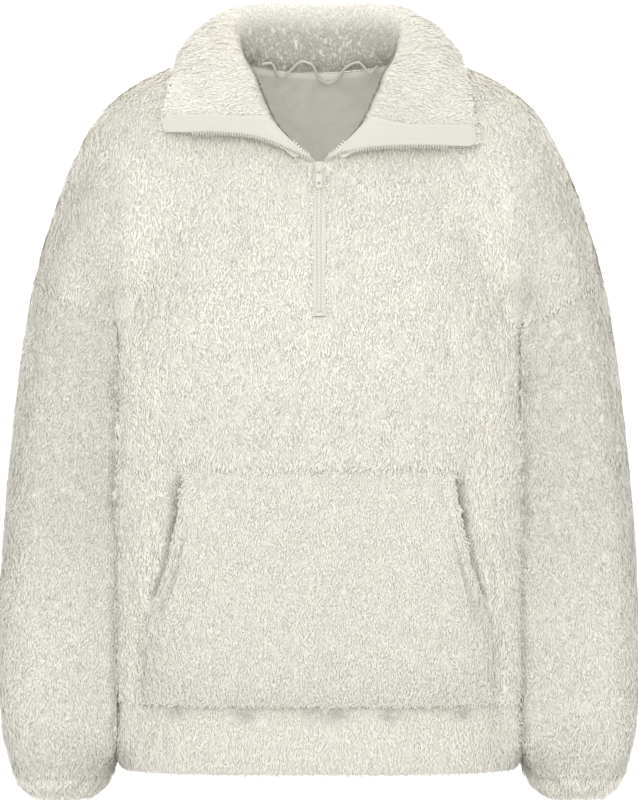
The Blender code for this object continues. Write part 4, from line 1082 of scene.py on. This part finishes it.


# Short creases where the cloth is gathered, each by x, z, width and height: a bell in x times a bell in z.
# They dent the cloth a little, and on the front and the hem band they also paint shade into its pile
frontArcs = ((-0.073, -0.600, 0.012, 0.006), (-0.0136, -0.606, 0.005, 0.006), (0.068, -0.600, 0.011, 0.006),
             (0.120, -0.594, 0.008, 0.005))
bandCreases = ((-0.141, -0.628, 0.010, 0.005), (-0.073, -0.629, 0.013, 0.006), (-0.008, -0.627, 0.011, 0.005),
               (0.016, -0.629, 0.012, 0.006), (0.069, -0.628, 0.011, 0.006), (0.142, -0.629, 0.010, 0.005))


def gathers(points, creases):
    return sum(np.exp(-((points[..., 0] - x) / wide) ** 2 - ((points[..., 2] - z) / tall) ** 2)
               for x, z, wide, tall in creases)


frontOuter, frontInner = frontLayers()
backOuter, backInner = backLayers()
pocketOver, pocketUnder = pocketLayers(frontOuter, frontInner)
sleeveOuter, sleeveInner = sleeveLayers()
collarShown, collarHidden, collarOut = collarLayers(neckRim((frontOuter, frontInner), (backOuter, backInner)))
print("forms worked out")

# Height of the crease where the sleeve's front pouches over its cuff, and a bell over the distance from it
cuffDip = table("x z", (0.215, -0.691), (0.220, -0.695), (0.235, -0.702), (0.255, -0.7125), (0.274, -0.708),
                (0.285, -0.700), (0.297, -0.683))


def cuffLine(points):
    return along(cuffDip, "z", np.abs(points[..., 0]), "x")


def cuffCrease(points):
    return bell(points[..., 2], cuffLine(points), 0.0032)


def aheadOfCuff(points):
    return falling(points[..., 1], armEnd[1] + 0.02, 0.02)


# Sleeve's end as one soft pouch that turns under at its opening: half of its width, and its middle's x
pouchForm = table("z half centre was", (-0.7185, 0.0310, 0.2560, 0.0425), (-0.7160, 0.0345, 0.2555, 0.0435),
                  (-0.7120, 0.0395, 0.2545, 0.0438), (-0.7050, 0.0462, 0.2540, 0.0440),
                  (-0.6970, 0.0502, 0.2537, 0.0430), (-0.6880, 0.0530, 0.2545, 0.0505),
                  (-0.6720, 0.0549, 0.2561, 0.0549))


def pouched(points):
    x, y, z = np.moveaxis(points, -1, 0)
    half, centre, was = columnsAt(pouchForm, "half centre was", z)
    outer, inner = columnsAt(arm, "outer inner", z)
    ratio = half / was
    moved = joined(centre + (x - (outer + inner) / 2) * ratio, armEnd[1] + (y - armEnd[1]) * ratio, z)
    return points + (moved - points) * falling(z, pouchForm["z"][-1], 0.006)[..., None]


# How far the pocket's mouth bows inward, by rows of the solids: a bell around the fifth
def mouthBow(level):
    return 0.0065 * bell(level, 5.0, 1.0)


# The front's painted light and shade in its pile: how much each changes it, and the start and width of its
# steps, or centre and reach.
# Belly, yoke and rim are painted shade, flank, ridge and side painted light, mouth a painted shadow in the
# pocket's mouths, arcs and lip painted shade in the creases above the hem and at the pocket's top
frontPaintedLight = {
    "belly": 0.055, "bellyZ": (-0.25, 0.1), "yoke": 0.03, "yokeX": (0.12, 0.06), "yokeZ": (-0.2, 0.1),
    "flank": 0.13, "flankX": (0.14, 0.025), "flankZ": (-0.27, 0.05), "mouth": 0.62, "arcs": 0.20, "lip": 0.02,
    "ridge": 0.04, "ridgeX": (0.176, 0.018), "rim": 0.11, "rimX": (0.187, 0.009),
    "upperZ": (-0.29, 0.02), "neckZ": (-0.075, 0.05), "side": 0.22, "sideZ": (-0.29, 0.03),
}


def makeFront():
    outer, inner, out = nestled(refine(frontOuter, fineness), refine(frontInner, fineness), -1)
    rows, columns = frontOuter.shape[:2]
    middle, slitRow = columns // 2, len(frontHeights)
    top, cells, opens = pocketForm["topRow"], pocketForm["cells"], pocketForm["openRow"]
    keep = np.ones((rows - 1, columns - 1), bool)
    keep[slitRow:, middle - 1:middle + 1] = False
    grown = np.ones((rows - 1, columns - 1))               # no pile under the pocket, but by its mouths
    grown[:top, middle - cells:middle + cells] = 0
    grown[opens:top, middle - cells:middle - cells + 3] = 1
    grown[opens:top, middle + cells - 3:middle + cells] = 1
    level = solidRows(outer)
    x, z = np.abs(outer[..., 0]), outer[..., 2]
    armhole = smoothStep((level - slitRow) / 2)
    sides = seamNear(seamDistance(outer, "first last"))
    near = np.max([seamNear(seamDistance(outer, "high")), 0.5 * seamNear(seamDistance(outer, "low")),
                   sides * (1 - 0.85 * armhole)], axis=0)
    beside = seamNear(np.hypot(np.maximum(x - slitHalf, 0), np.maximum(zipBottomZ - z, 0)), 0.006)
    near = np.maximum(near, 0.25 * beside)
    flow = constantFlow(outer, (0, -0.3, -1)) - sideways(outer, 0.9 * beside)
    run, down = lengths(outer, 1), lengths(outer, 0)
    # A painted shadow in the gap of each pocket mouth, on the front just beside the pocket's edge; it also
    # dents the cloth a little
    mouth = sum(bell(side * (run - run[:, column:column + 1]) - 0.003 + mouthBow(level), 0, 0.0045)
                for side, column in ((-1, (middle - cells) * fineness), (1, (middle + cells) * fineness)))
    mouth = mouth * rising(level - opens, -0.05, 0.5) * falling(level, top, 0.4)
    above = down - down[top * fineness:top * fineness + 1]
    lip = (bell(above, 0, 0.006) * (above > -1e-6) * falling(x, 0.142, 0.008)
           * (0.75 + 0.5 * latticeNoise(outer, 0.006, 17)))
    arcs, toneAndShade = gathers(outer, frontArcs), frontPaintedLight
    upper = rising(z, *toneAndShade["upperZ"]) * falling(z, *toneAndShade["neckZ"])
    paintedShade = (1 - toneAndShade["belly"] * falling(z, *toneAndShade["bellyZ"])
             - toneAndShade["yoke"] * rising(x, *toneAndShade["yokeX"]) * rising(z, *toneAndShade["yokeZ"])
             + toneAndShade["flank"] * rising(x, *toneAndShade["flankX"]) * falling(z, *toneAndShade["flankZ"])
             - toneAndShade["mouth"] * mouth - toneAndShade["arcs"] * arcs - toneAndShade["lip"] * lip
             + toneAndShade["ridge"] * bell(x, *toneAndShade["ridgeX"]) * upper
             - toneAndShade["rim"] * rising(x, *toneAndShade["rimX"]) * upper
             + toneAndShade["side"] * facingSideways(out) * rising(z, *toneAndShade["sideZ"]))
    return clothAndPile("front_panel", "front", outer, inner, flow, "bodyPile", 11, near, finer(grown),
                        finer(keep), trough=0.004 * mouth + 0.001 * arcs - 0.0028 * lip, paintedShade=paintedShade,
                        out=out, long=1 + 0.6 * lip + 0.4 * sides * armhole)


def makeBack():
    outer, inner, out = nestled(refine(backOuter, fineness), refine(backInner, fineness), -1)
    armhole = smoothStep((solidRows(outer) - len(backHeights)) / 2)
    near = np.maximum(seamNear(seamDistance(outer, "low high")),
                      seamNear(seamDistance(outer, "first last")) * (1 - 0.75 * armhole))
    # Painted light on the pile where the back's upper part faces sideways, and painted shade over the outer
    # shoulders
    upper = rising(outer[..., 2], -0.29, 0.03)
    paintedShade = 1 + (0.12 * facingSideways(out) - 0.10 * rising(np.abs(outer[..., 0]), 0.180, 0.030)) * upper
    return clothAndPile("back_panel", "back", outer, inner, constantFlow(outer, (0, 0.3, -1)), "bodyPile",
                        31, near, trough=0.001 * gathers(outer, frontArcs), paintedShade=paintedShade, out=out)


# The pocket's stitching beside its mouths and the roll of their edges: distance from the side, and reach
pocketEdge = {"stitchAt": (0.0195, 0.0032), "rollAt": (0.0085, 0.0065), "drawIn": 0.0075, "drawReach": 0.02,
              "sewnSink": 0.0036, "topSink": 0.0016, "underSink": 0.0020}


def makePocket():
    over, under = refine(pocketOver, fineness), refine(pocketUnder, fineness)
    level = solidRows(over)
    opens, top = pocketForm["openRow"], pocketForm["topRow"]
    mouth = rising(level - opens, -0.4, 0.6) * rising(top - level, -0.1, 0.5)
    side = seamDistance(over, "first last")
    high = seamNear(seamDistance(over, "high"), 0.010)
    sewn = np.maximum(seamNear(side, 0.008) * (1 - mouth), high)
    stitched = (bell(side, *pocketEdge["stitchAt"]) * rising(level - opens, -0.7, 0.5)
                * falling(level, opens + 1.9, 0.6))
    rolled = bell(side, *pocketEdge["rollAt"]) * mouth
    near = np.maximum(seamNear(seamDistance(over, "low"), 0.006) * 0.8, sewn * 0.2)
    out = unit(over - under)
    drawn = (pocketEdge["drawIn"] + mouthBow(level)) * seamNear(side, pocketEdge["drawReach"]) * mouth
    drawn = sideways(over, drawn)
    flow = constantFlow(over, (0, 0, -1)) + sideways(over, 0.9 * (seamNear(side, 0.006) * mouth))
    over = over - out * (pocketEdge["sewnSink"] * sewn + pocketEdge["topSink"] * high)[..., None] - drawn
    under = under - out * (pocketEdge["underSink"] * high)[..., None] - drawn
    # The pocket's pile: a little darker all over, with painted shade along the stitching and painted light on
    # the rolled edges of its mouths
    return clothAndPile("pocket_panel", "pocket", over, under, flow, "pocketPile", 51, near,
                        trough=0.0026 * stitched - 0.0030 * rolled,
                        paintedShade=0.965 - 0.15 * stitched + 0.03 * rolled, out=out)


# The sleeves' painted light and shade in their pile: darker all over and paler low down, painted shade at the
# seams and in the crease over the cuff, painted light where the cloth faces sideways
sleevePaintedLight = {
    "base": 0.855, "low": 0.115, "lowZ": (-0.40, 0.18), "seam": 0.05, "cuff": 0.10,
    "side": 0.17, "sideZ": (-0.47, 0.19), "edge": 0.10, "edgeY": (0.32, 0.26), "edgeZ": (-0.257, 0.15),
}


def makeSleeves():
    outer, inner = (pouched(refine(grid, fineness, True)) for grid in (sleeveOuter, sleeveInner))
    outer, inner, out = nestled(outer, inner, 1)
    ahead, toneAndShade, z = aheadOfCuff(outer), sleevePaintedLight, outer[..., 2]
    last = seamNear(seamDistance(outer, "high"), 0.005) * (1 - ahead * (1 - 0.9 * cuffCrease(outer)))
    near = np.maximum(seamNear(seamDistance(outer, "low")) * 0.4, last)
    paintedShade = (toneAndShade["base"] + toneAndShade["low"] * falling(z, *toneAndShade["lowZ"]) - toneAndShade["seam"] * near
             - toneAndShade["cuff"] * cuffCrease(outer) * ahead
             + toneAndShade["side"] * facingSideways(out) * rising(z, *toneAndShade["sideZ"])
             + toneAndShade["edge"] * falling(np.abs(out[..., 1]), *toneAndShade["edgeY"]) * falling(z, *toneAndShade["edgeZ"]))
    made = []
    for (sideName, grids), slant, seed in zip(bothSides(outer, inner, out), (0.16, -0.16), (71, 91)):
        made.append(clothAndPile(f"{sideName}_sleeve", f"sleeve_{sideName}", *grids[:2],
                                 constantFlow(outer, (slant, 0, -1)), "sleevePile", seed, near, closed=True,
                                 paintedShade=paintedShade, out=grids[2]))
    return made


def makeBands():
    outer, inner, out = nestled(*(refineRows(grid, 3) for grid in hemLayers(240)), -1)
    near = seamNear(seamDistance(outer, "low"), 0.005)
    trimmed = np.maximum(0.5 * near, seamNear(seamDistance(outer, "high"), 0.007))
    creased = gathers(outer, bandCreases)
    # The hem band's pile: a little paler, with painted shade in its creases and at its seam
    made = [clothAndPile("waist_band", "hem_band", outer, inner, constantFlow(outer, (0, 0, -1)), "bandPile",
                         111, trimmed, closed=True, trough=0.003 * creased,
                         paintedShade=1.04 - 0.36 * creased - 0.10 * near, out=out)]
    outer, inner = (pouched(refineRows(grid, 3)) for grid in cuffLayers(120))
    ahead = aheadOfCuff(outer)
    folded = cuffCrease(outer) * ahead
    pouch = smoothStep((outer[..., 2] - cuffLine(outer)) / 0.003) * ahead
    near = seamNear(seamDistance(outer, "low"), 0.004) * (1 - ahead)
    # The cuffs' pile: paler, with painted shade at the seam, in the crease under the sleeve's pouch and a
    # little over the pouch
    for (sideName, grids), seed in zip(bothSides(outer, inner), (131, 141)):
        made.append(clothAndPile(f"{sideName}_cuff", f"cuff_{sideName}", *grids,
                                 constantFlow(outer, (0, 0, -1)), "bandPile", seed, near, closed=True,
                                 trough=0.0012 * folded - 0.0004 * pouch, cutShare=0.45,
                                 paintedShade=1.14 - 0.14 * near - 0.16 * folded - 0.05 * pouch))
    return made


def makeCollar():
    shown, hidden = refine(collarShown, fineness), refine(collarHidden, fineness)
    near = seamNear(seamDistance(shown, "low"), 0.004) * 0.5
    rows, bare = solidRows(shown), 2 * fineness            # no pile where the tapes cover the lapels' edges
    folded = rising(rows - rollRow, 0.3, 0.7)
    for edge, beside in ((0, 1), (-1, -2)):
        middle = (shown[:, beside] + hidden[:, beside]) / 2
        shown[:, edge] += (shown[:, beside] - shown[:, edge]) * 0.5 * folded
        hidden[:, edge] += (middle * 0.3 + shown[:, edge] * 0.7 - hidden[:, edge]) * 0.9 * folded
    weight = np.ones(tuple(n - 1 for n in shown.shape[:2]))
    weight[rollRow * fineness:-2, :bare] = 0
    weight[rollRow * fineness:-2, -bare:] = 0
    run, fall = lengths(shown, 1), rows >= rollRow
    first, last = (bell(run - run[:, column:column + 1], 0, 0.006) * fall
                   for column in (bare, shown.shape[1] - 1 - bare))
    flow = (unit(np.gradient(shown, axis=0))
            + 1.4 * unit(np.gradient(shown, axis=1)) * (last - first)[..., None])
    # Painted shade inside the collar's stand, fading over the roll, and a little on the lapel at positive x
    paintedShade = 0.625 + 0.415 * rising(rows - rollRow, -2.6, 2.2)
    paintedShade = paintedShade * (1 - 0.055 * smoothStep(shown[..., 0] / 0.05) * fall)
    return clothAndPile("collar_cloth", "collar", shown, hidden, flow, "collarPile", 151, near, weight,
                        paintedShade=paintedShade, tall=1 + 0.9 * (first + last), long=0.85)


cornerForm = {"x": (0.0245, 0.0066), "lowZ": (-0.0895, -0.1055), "highZ": (-0.0760, -0.0925)}


# Fur of the front carried up from its neck edge to the zip's open tapes, beside the slider: a sheet
# between two edges, bulging forward by a half sine
def makeNeckCorners():
    def between(ends, share):
        return ends[0] + (ends[1] - ends[0]) * share

    share = np.linspace(0, 1, 9)
    x = between(cornerForm["x"], share)
    low = depth(x, between(cornerForm["lowZ"], share), -1) + np.array([0, 0.0012, -0.0030])
    high = joined(x * 0.93, low[:, 1] + 0.0040 - 0.0030 * share, between(cornerForm["highZ"], share ** 1.1))
    rise = share[:, None, None]
    outer = low + (high - low) * rise + np.array([0, -0.0020, 0]) * np.sin(math.pi * rise)
    inner, plain, cells = outer + np.array([0, 0.0030, 0]), np.ones(outer.shape[:2]), np.ones((8, 8))
    for (sideName, (front, back)), seed in zip(bothSides(outer, inner), (171, 181)):
        backing = front + np.array([0, 0.0010, 0])
        clothPiece(f"neck_corner_{sideName}", backing, back, looks["backing"])
        growPile(f"neck_corner_{sideName}_pile", backing, constantFlow(outer, (0, -1, 0.2)),
                 constantFlow(outer, (0, 0, -1)), cells, plain, plain, plain, "bodyPile", seed)


frontPieces, backPieces, pocketPieces = makeFront(), makeBack(), makePocket()
sleevePieces, bandPieces, collarPieces = makeSleeves(), makeBands(), makeCollar()
makeNeckCorners()
print("cloth and pile made")

zipSizes = {
    "tapeThick": 0.0012, "tapeSink": 0.0032, "padding": 0.0010, "chainThick": 0.0024, "toothPitch": 0.0027,
    "sliderZ": -0.1015, "sliderTall": 0.0125, "tapeTopZ": -0.0925,
    "stitchTopZ": -0.112, "stitchPitch": 0.0030, "endCut": 0.0003, "endRound": 0.009,
    "tailX": 0.0058, "tailZ": -0.0905, "tailLift": 0.0015, "tailBulge": 0.016,
}
# Outline of a tooth across its tape: foot, narrow neck and head, with the way past the tape first
toothOutline = np.array([(-0.0013, -0.00070), (0.0002, -0.00070), (0.0006, -0.00045), (0.0011, -0.00068),
                         (0.0019, -0.00048), (0.0019, 0.00048), (0.0011, 0.00068), (0.0006, 0.00045),
                         (0.0002, 0.00070), (-0.0013, 0.00070)])
toothSides = [[k, (k + 1) % 10, 10 + (k + 1) % 10, 10 + k] for k in range(10)]
toothCaps = [[9 - k, 8 - k, k + 1, k] for k in range(4)]
toothFaces = np.array(toothSides + toothCaps + [[10 + i for i in cap[::-1]] for cap in toothCaps])
# A short stitch: a thin raised bar
stitchOutline = np.array([(-0.00022, -0.0009), (0.00022, -0.0009), (0.00022, 0.0009), (-0.00022, 0.0009)])
stitchFaces = np.array([[0, 1, 5, 4], [1, 2, 6, 5], [2, 3, 7, 6], [3, 0, 4, 7], [3, 2, 1, 0], [4, 5, 6, 7]])


# The chest's surface on the middle plane, and its way up
def chestPoint(z):
    low, high = depth(0 * z, z - 0.01, -1), depth(0 * z, z + 0.01, -1)
    return depth(0 * z, z, -1), unit(high - low)


# Many copies of one small closed form, each in its own frame of three directions
def makeCopies(name, places, past, run, out, outline, faces, thick, look):
    flat = places[:, None] + past[:, None] * outline[:, :1] + run[:, None] * outline[:, 1:]
    points = np.concatenate([flat - out[:, None] * thick / 2, flat + out[:, None] * thick / 2], axis=1)
    corner = faces[0]
    side = np.cross(points[0, corner[1]] - points[0, corner[0]], points[0, corner[2]] - points[0, corner[1]])
    if np.sum(side * (points[0, corner].mean(axis=0) - points[0].mean(axis=0))) < 0:
        faces = faces[:, ::-1]
    each = (np.arange(len(places))[:, None, None] * points.shape[1] + faces).reshape(-1, faces.shape[1])
    return makePiece(name, points, each, look, smooth=False)


def makeStitches(name, places, past, run, out):
    makeCopies(name, places, past, run, out, stitchOutline, stitchFaces, 0.0004, looks["tape"])


# Teeth along a line, with their heads the way past the tape
def makeTeeth(name, line, inward, at, shift, thick, look):
    way = unit(lineAt(np.gradient(line, axis=0), at))
    past = squared(lineAt(inward, at), way)
    return makeCopies(name, lineAt(line, at) + past * shift, past, way, unit(np.cross(way, past)),
                      toothOutline, toothFaces, thick, look)


# Fractional places along a path, a pitch apart
def stepped(path, pitch):
    length = lengths(path, 0)
    return np.interp(np.arange(pitch / 2, length[-1] - pitch / 2, pitch), length, np.arange(len(path)))


# The tape on a lapel, rounded at its outer end and fullest in its middle, its teeth and its stitches
def makeOpenTape(side, sideName, block):
    rows = slice(rollRow, collarShown.shape[0])
    point, _ = chestPoint(np.array(zipSizes["tailZ"]))
    away = collarOut[rows, block]
    under = collarShown[rows, block] + away * 2 * seamGap
    foot = np.array([side * zipSizes["tailX"], point[1] - zipSizes["tailLift"], zipSizes["tailZ"]])
    share = np.array([1, 0.66, 0.33])[:, None, None]
    line = under[0, 0] + (foot - under[0, 0]) * share
    spread = (under[0] - under[0, 0]) * (1 - share) ** 2
    step = np.arange(3)[:, None] * np.array([side * 0.0015, 0, 0.002]) * share
    bulge = np.array([0, -zipSizes["tailBulge"], 0]) * share * (1 - share)
    away = np.concatenate([unit(away[0] * (1 - share) + np.array([0, -1, 0]) * share), away])
    under, away = refine(np.concatenate([line + spread + step + bulge, under]), 6), refine(away, 6)
    length = lengths(under, 0)[:, under.shape[1] // 2]
    run = np.linspace(0, length[-1] - zipSizes["endCut"], 90)[:, None]
    across = np.linspace(0, 1, 13)[None, :]
    ending = np.clip((run[-1] - run) / zipSizes["endRound"], 0, 1)
    narrow = np.sqrt(np.maximum(1 - (1 - ending) ** 2, 0.004))
    row, column = np.broadcast_arrays(np.interp(run, length, np.arange(len(length))),
                                      (under.shape[1] - 1) * (0.5 + (across - 0.5) * narrow))
    low, out = gridAt(under, row, column), unit(gridAt(away, row, column))
    full = (1 - np.abs(2 * across - 1) ** 3) * narrow
    high = low + out * (zipSizes["tapeThick"] * 0.6 + zipSizes["padding"] * full)[..., None]
    tape = clothPiece(f"open_tape_{sideName}", high, low, looks["tape"])
    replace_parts(tape, f"zip_tape_{sideName}")
    edge, turned = ((low[:, k] + high[:, k]) / 2 for k in (0, -1))
    # By the slider the tape stands on edge, and its teeth show along the neck opening
    makeTeeth(f"neck_teeth_{sideName}", turned, low[:, -1] - low[:, 6],
              stepped(turned[:12], zipSizes["toothPitch"] * 1.25), 0.0006, 0.0012, looks["plastic"])
    teeth = makeTeeth(f"open_teeth_{sideName}", edge, low[:, 0] - low[:, 6],
                      stepped(edge[:-14], zipSizes["toothPitch"]), 0.0014, 0.0022, looks["shadedTeeth"])
    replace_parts(teeth, f"zip_teeth_{sideName}")
    sewn = high[4:-6, 10]
    at = stepped(sewn, zipSizes["stitchPitch"])
    way, up = unit(lineAt(np.gradient(sewn, axis=0), at)), unit(lineAt(out[4:-6, 9], at))
    makeStitches(f"tape_stitches_{sideName}", lineAt(sewn, at), unit(np.cross(way, up)), way, up)


# The closed tape, sunk in the slit with a low cord on each side of its chain; the chain's teeth, by turns
# from each side; and two rows of stitches
def makeClosedZip():
    halfWide = slitHalf - 2 * seamGap
    tapeFace = zipSizes["tapeSink"] - zipSizes["tapeThick"]
    z = np.linspace(zipBottomZ + 2 * seamGap, zipSizes["tapeTopZ"], 60)
    point, _ = chestPoint(z)
    across = np.linspace(-1, 1, 13)
    cord = bell(np.abs(across), 0.42, 0.12)
    chest = point[:, None, 1] + zipSizes["tapeSink"]
    front = joined(across * halfWide, chest - zipSizes["tapeThick"] - 0.0005 * cord, z[:, None])
    tape = clothPiece("closed_tape", front, joined(across * halfWide, chest, z[:, None]), looks["chainTape"])
    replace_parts(tape, "zip_tape_closed")
    low = zipBottomZ + 0.0045 + 0.0012                     # over the bottom stop
    high = zipSizes["sliderZ"] - zipSizes["sliderTall"] / 2 - 0.0030
    point, up = chestPoint(np.arange(low, high, zipSizes["toothPitch"] / 2))
    side = np.where(np.arange(len(point)) % 2 == 0, 1.0, -1.0)[:, None] * np.array([1.0, 0, 0])
    sink = tapeFace - seamGap - zipSizes["chainThick"] / 2
    teeth = makeCopies("closed_teeth", point + np.array([0, sink, 0]) - side * 0.0009, side, up,
                       unit(np.cross(up, side)), toothOutline, toothFaces, zipSizes["chainThick"] * 0.9,
                       looks["plastic"])
    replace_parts(teeth, "zip_chain")
    z = np.arange(zipBottomZ + 0.004, zipSizes["stitchTopZ"], zipSizes["stitchPitch"])
    point, up = chestPoint(np.repeat(z, 2))
    side = np.tile([[1.0, 0, 0], [-1.0, 0, 0]], (len(z), 1))
    makeStitches("closed_stitches", point + side * halfWide * 0.78 + np.array([0, tapeFace, 0]), side, up,
                 unit(np.cross(up, side)))


# A solid's own form with its edges rounded
def softened(nodeName, name, width, body="pullover"):
    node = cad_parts[nodeName]
    mesh = bmesh.new()
    mesh.from_mesh(node.data)
    mesh.transform(node.matrix_world)
    bmesh.ops.remove_doubles(mesh, verts=mesh.verts, dist=1e-6)
    bmesh.ops.dissolve_limit(mesh, angle_limit=0.05, verts=mesh.verts, edges=mesh.edges)
    sharp = [edge for edge in mesh.edges if len(edge.link_faces) == 2 and edge.calc_face_angle() > 0.5]
    bmesh.ops.bevel(mesh, geom=sharp, offset=width, segments=2, profile=0.6, affect="EDGES",
                    clamp_overlap=True)
    data = bpy.data.meshes.new(name)
    mesh.to_mesh(data)
    mesh.free()
    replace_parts(placePiece(name, data, looks["slider"], body), nodeName)


makeOpenTape(1, "left", slice(0, 3))
makeOpenTape(-1, "right", slice(-1, -4, -1))
makeClosedZip()
softened("zip_bottom_stop", "bottom_stop", 0.0004)
softened("slider", "slider_body", 0.0004)
softened("pull_tab", "tab", 0.00025, "pull")
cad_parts["neck_seam_piping"].data.materials[0] = looks["piping"]
print("zip made")

# Lamps: place, aim, width, height and power
studio = {
    "floorZ": -0.80, "wallY": 2.6, "bendRadius": 1.2, "nearY": -7.0, "halfWide": 6.0, "tall": 5.0,
    "world": 0.80,
    "lamps": {
        "key": ((-0.9, -3.6, 1.1), (0, 0, -0.3), 2.2, 2.2, 30.0),
        "fill": ((1.2, -3.6, 0.3), (0, 0, -0.35), 2.4, 2.4, 17.0),
        "wall": ((0, 0.9, 2.4), (0, 2.6, 0.2), 4.0, 1.0, 60.0),
        "inside": ((0, -0.07, -0.23), (0, 0.11, -0.06), 0.06, 0.04, 0.05),
    },
    "cameraPlace": (0, -4.5, -0.325), "lens": 202.5, "sensor": 36.0,
}


# Sweep: a level floor, a quarter circle and an upright wall behind, carried straight across
def makeSweep():
    turn = np.linspace(0, math.pi / 2, 24)
    bend, wallY = studio["bendRadius"], studio["wallY"]
    ys = np.concatenate([[studio["nearY"]], wallY - bend + bend * np.sin(turn), [wallY]])
    zs = np.concatenate([[0.0], bend - bend * np.cos(turn), [studio["tall"]]]) + studio["floorZ"]
    points = joined(np.array([-studio["halfWide"], studio["halfWide"]])[None, :], ys[:, None], zs[:, None])
    start = np.arange(len(ys) - 1) * 2
    faces = np.stack([start, start + 1, start + 3, start + 2], axis=-1)
    data = bpy.data.meshes.new("floor")
    data.from_pydata(points.reshape(-1, 3).tolist(), [], faces.tolist())
    data.shade_smooth()
    look, tree, shader = newLook("pale floor", 0.9)
    shader.inputs["Base Color"].default_value = (0.9, 0.9, 0.9, 1)
    clear, mix = tree.nodes.new("ShaderNodeBsdfTransparent"), tree.nodes.new("ShaderNodeMixShader")
    behind = tree.nodes.new("ShaderNodeNewGeometry").outputs["Backfacing"]     # clear from behind
    feed(tree, mix.inputs, (behind, shader.outputs[0], clear.outputs[0]))
    tree.links.new(mix.outputs[0], tree.nodes["Material Output"].inputs["Surface"])
    data.materials.append(look)
    addObject("floor", data)


def addLight(name, place, aim, width, height, power):
    light = bpy.data.lights.new(name, "AREA")
    light.shape = "RECTANGLE"
    light.size, light.size_y, light.energy = width, height, power
    made = addObject(name, light)
    way = np.array(place, float) - np.array(aim, float)
    made.location = place
    made.rotation_euler = (math.atan2(math.hypot(way[0], way[1]), way[2]), 0, math.atan2(way[0], -way[1]))


def makeStudio():
    makeSweep()
    world = bpy.data.worlds.new("soft light")
    world.use_nodes = True
    background = world.node_tree.nodes["Background"]
    background.inputs[0].default_value = (1, 1, 1, 1)
    background.inputs[1].default_value = studio["world"]
    scene.world = world
    for name, lamp in studio["lamps"].items():
        addLight(name, *lamp)
    camera = bpy.data.cameras.new("camera")
    camera.lens, camera.sensor_width = studio["lens"], studio["sensor"]
    view = addObject("camera", camera)
    view.location = studio["cameraPlace"]
    view.rotation_euler = (math.pi / 2, 0, 0)
    scene.camera = view
    scene.view_settings.view_transform = "Standard"


makeStudio()
print("studio made")
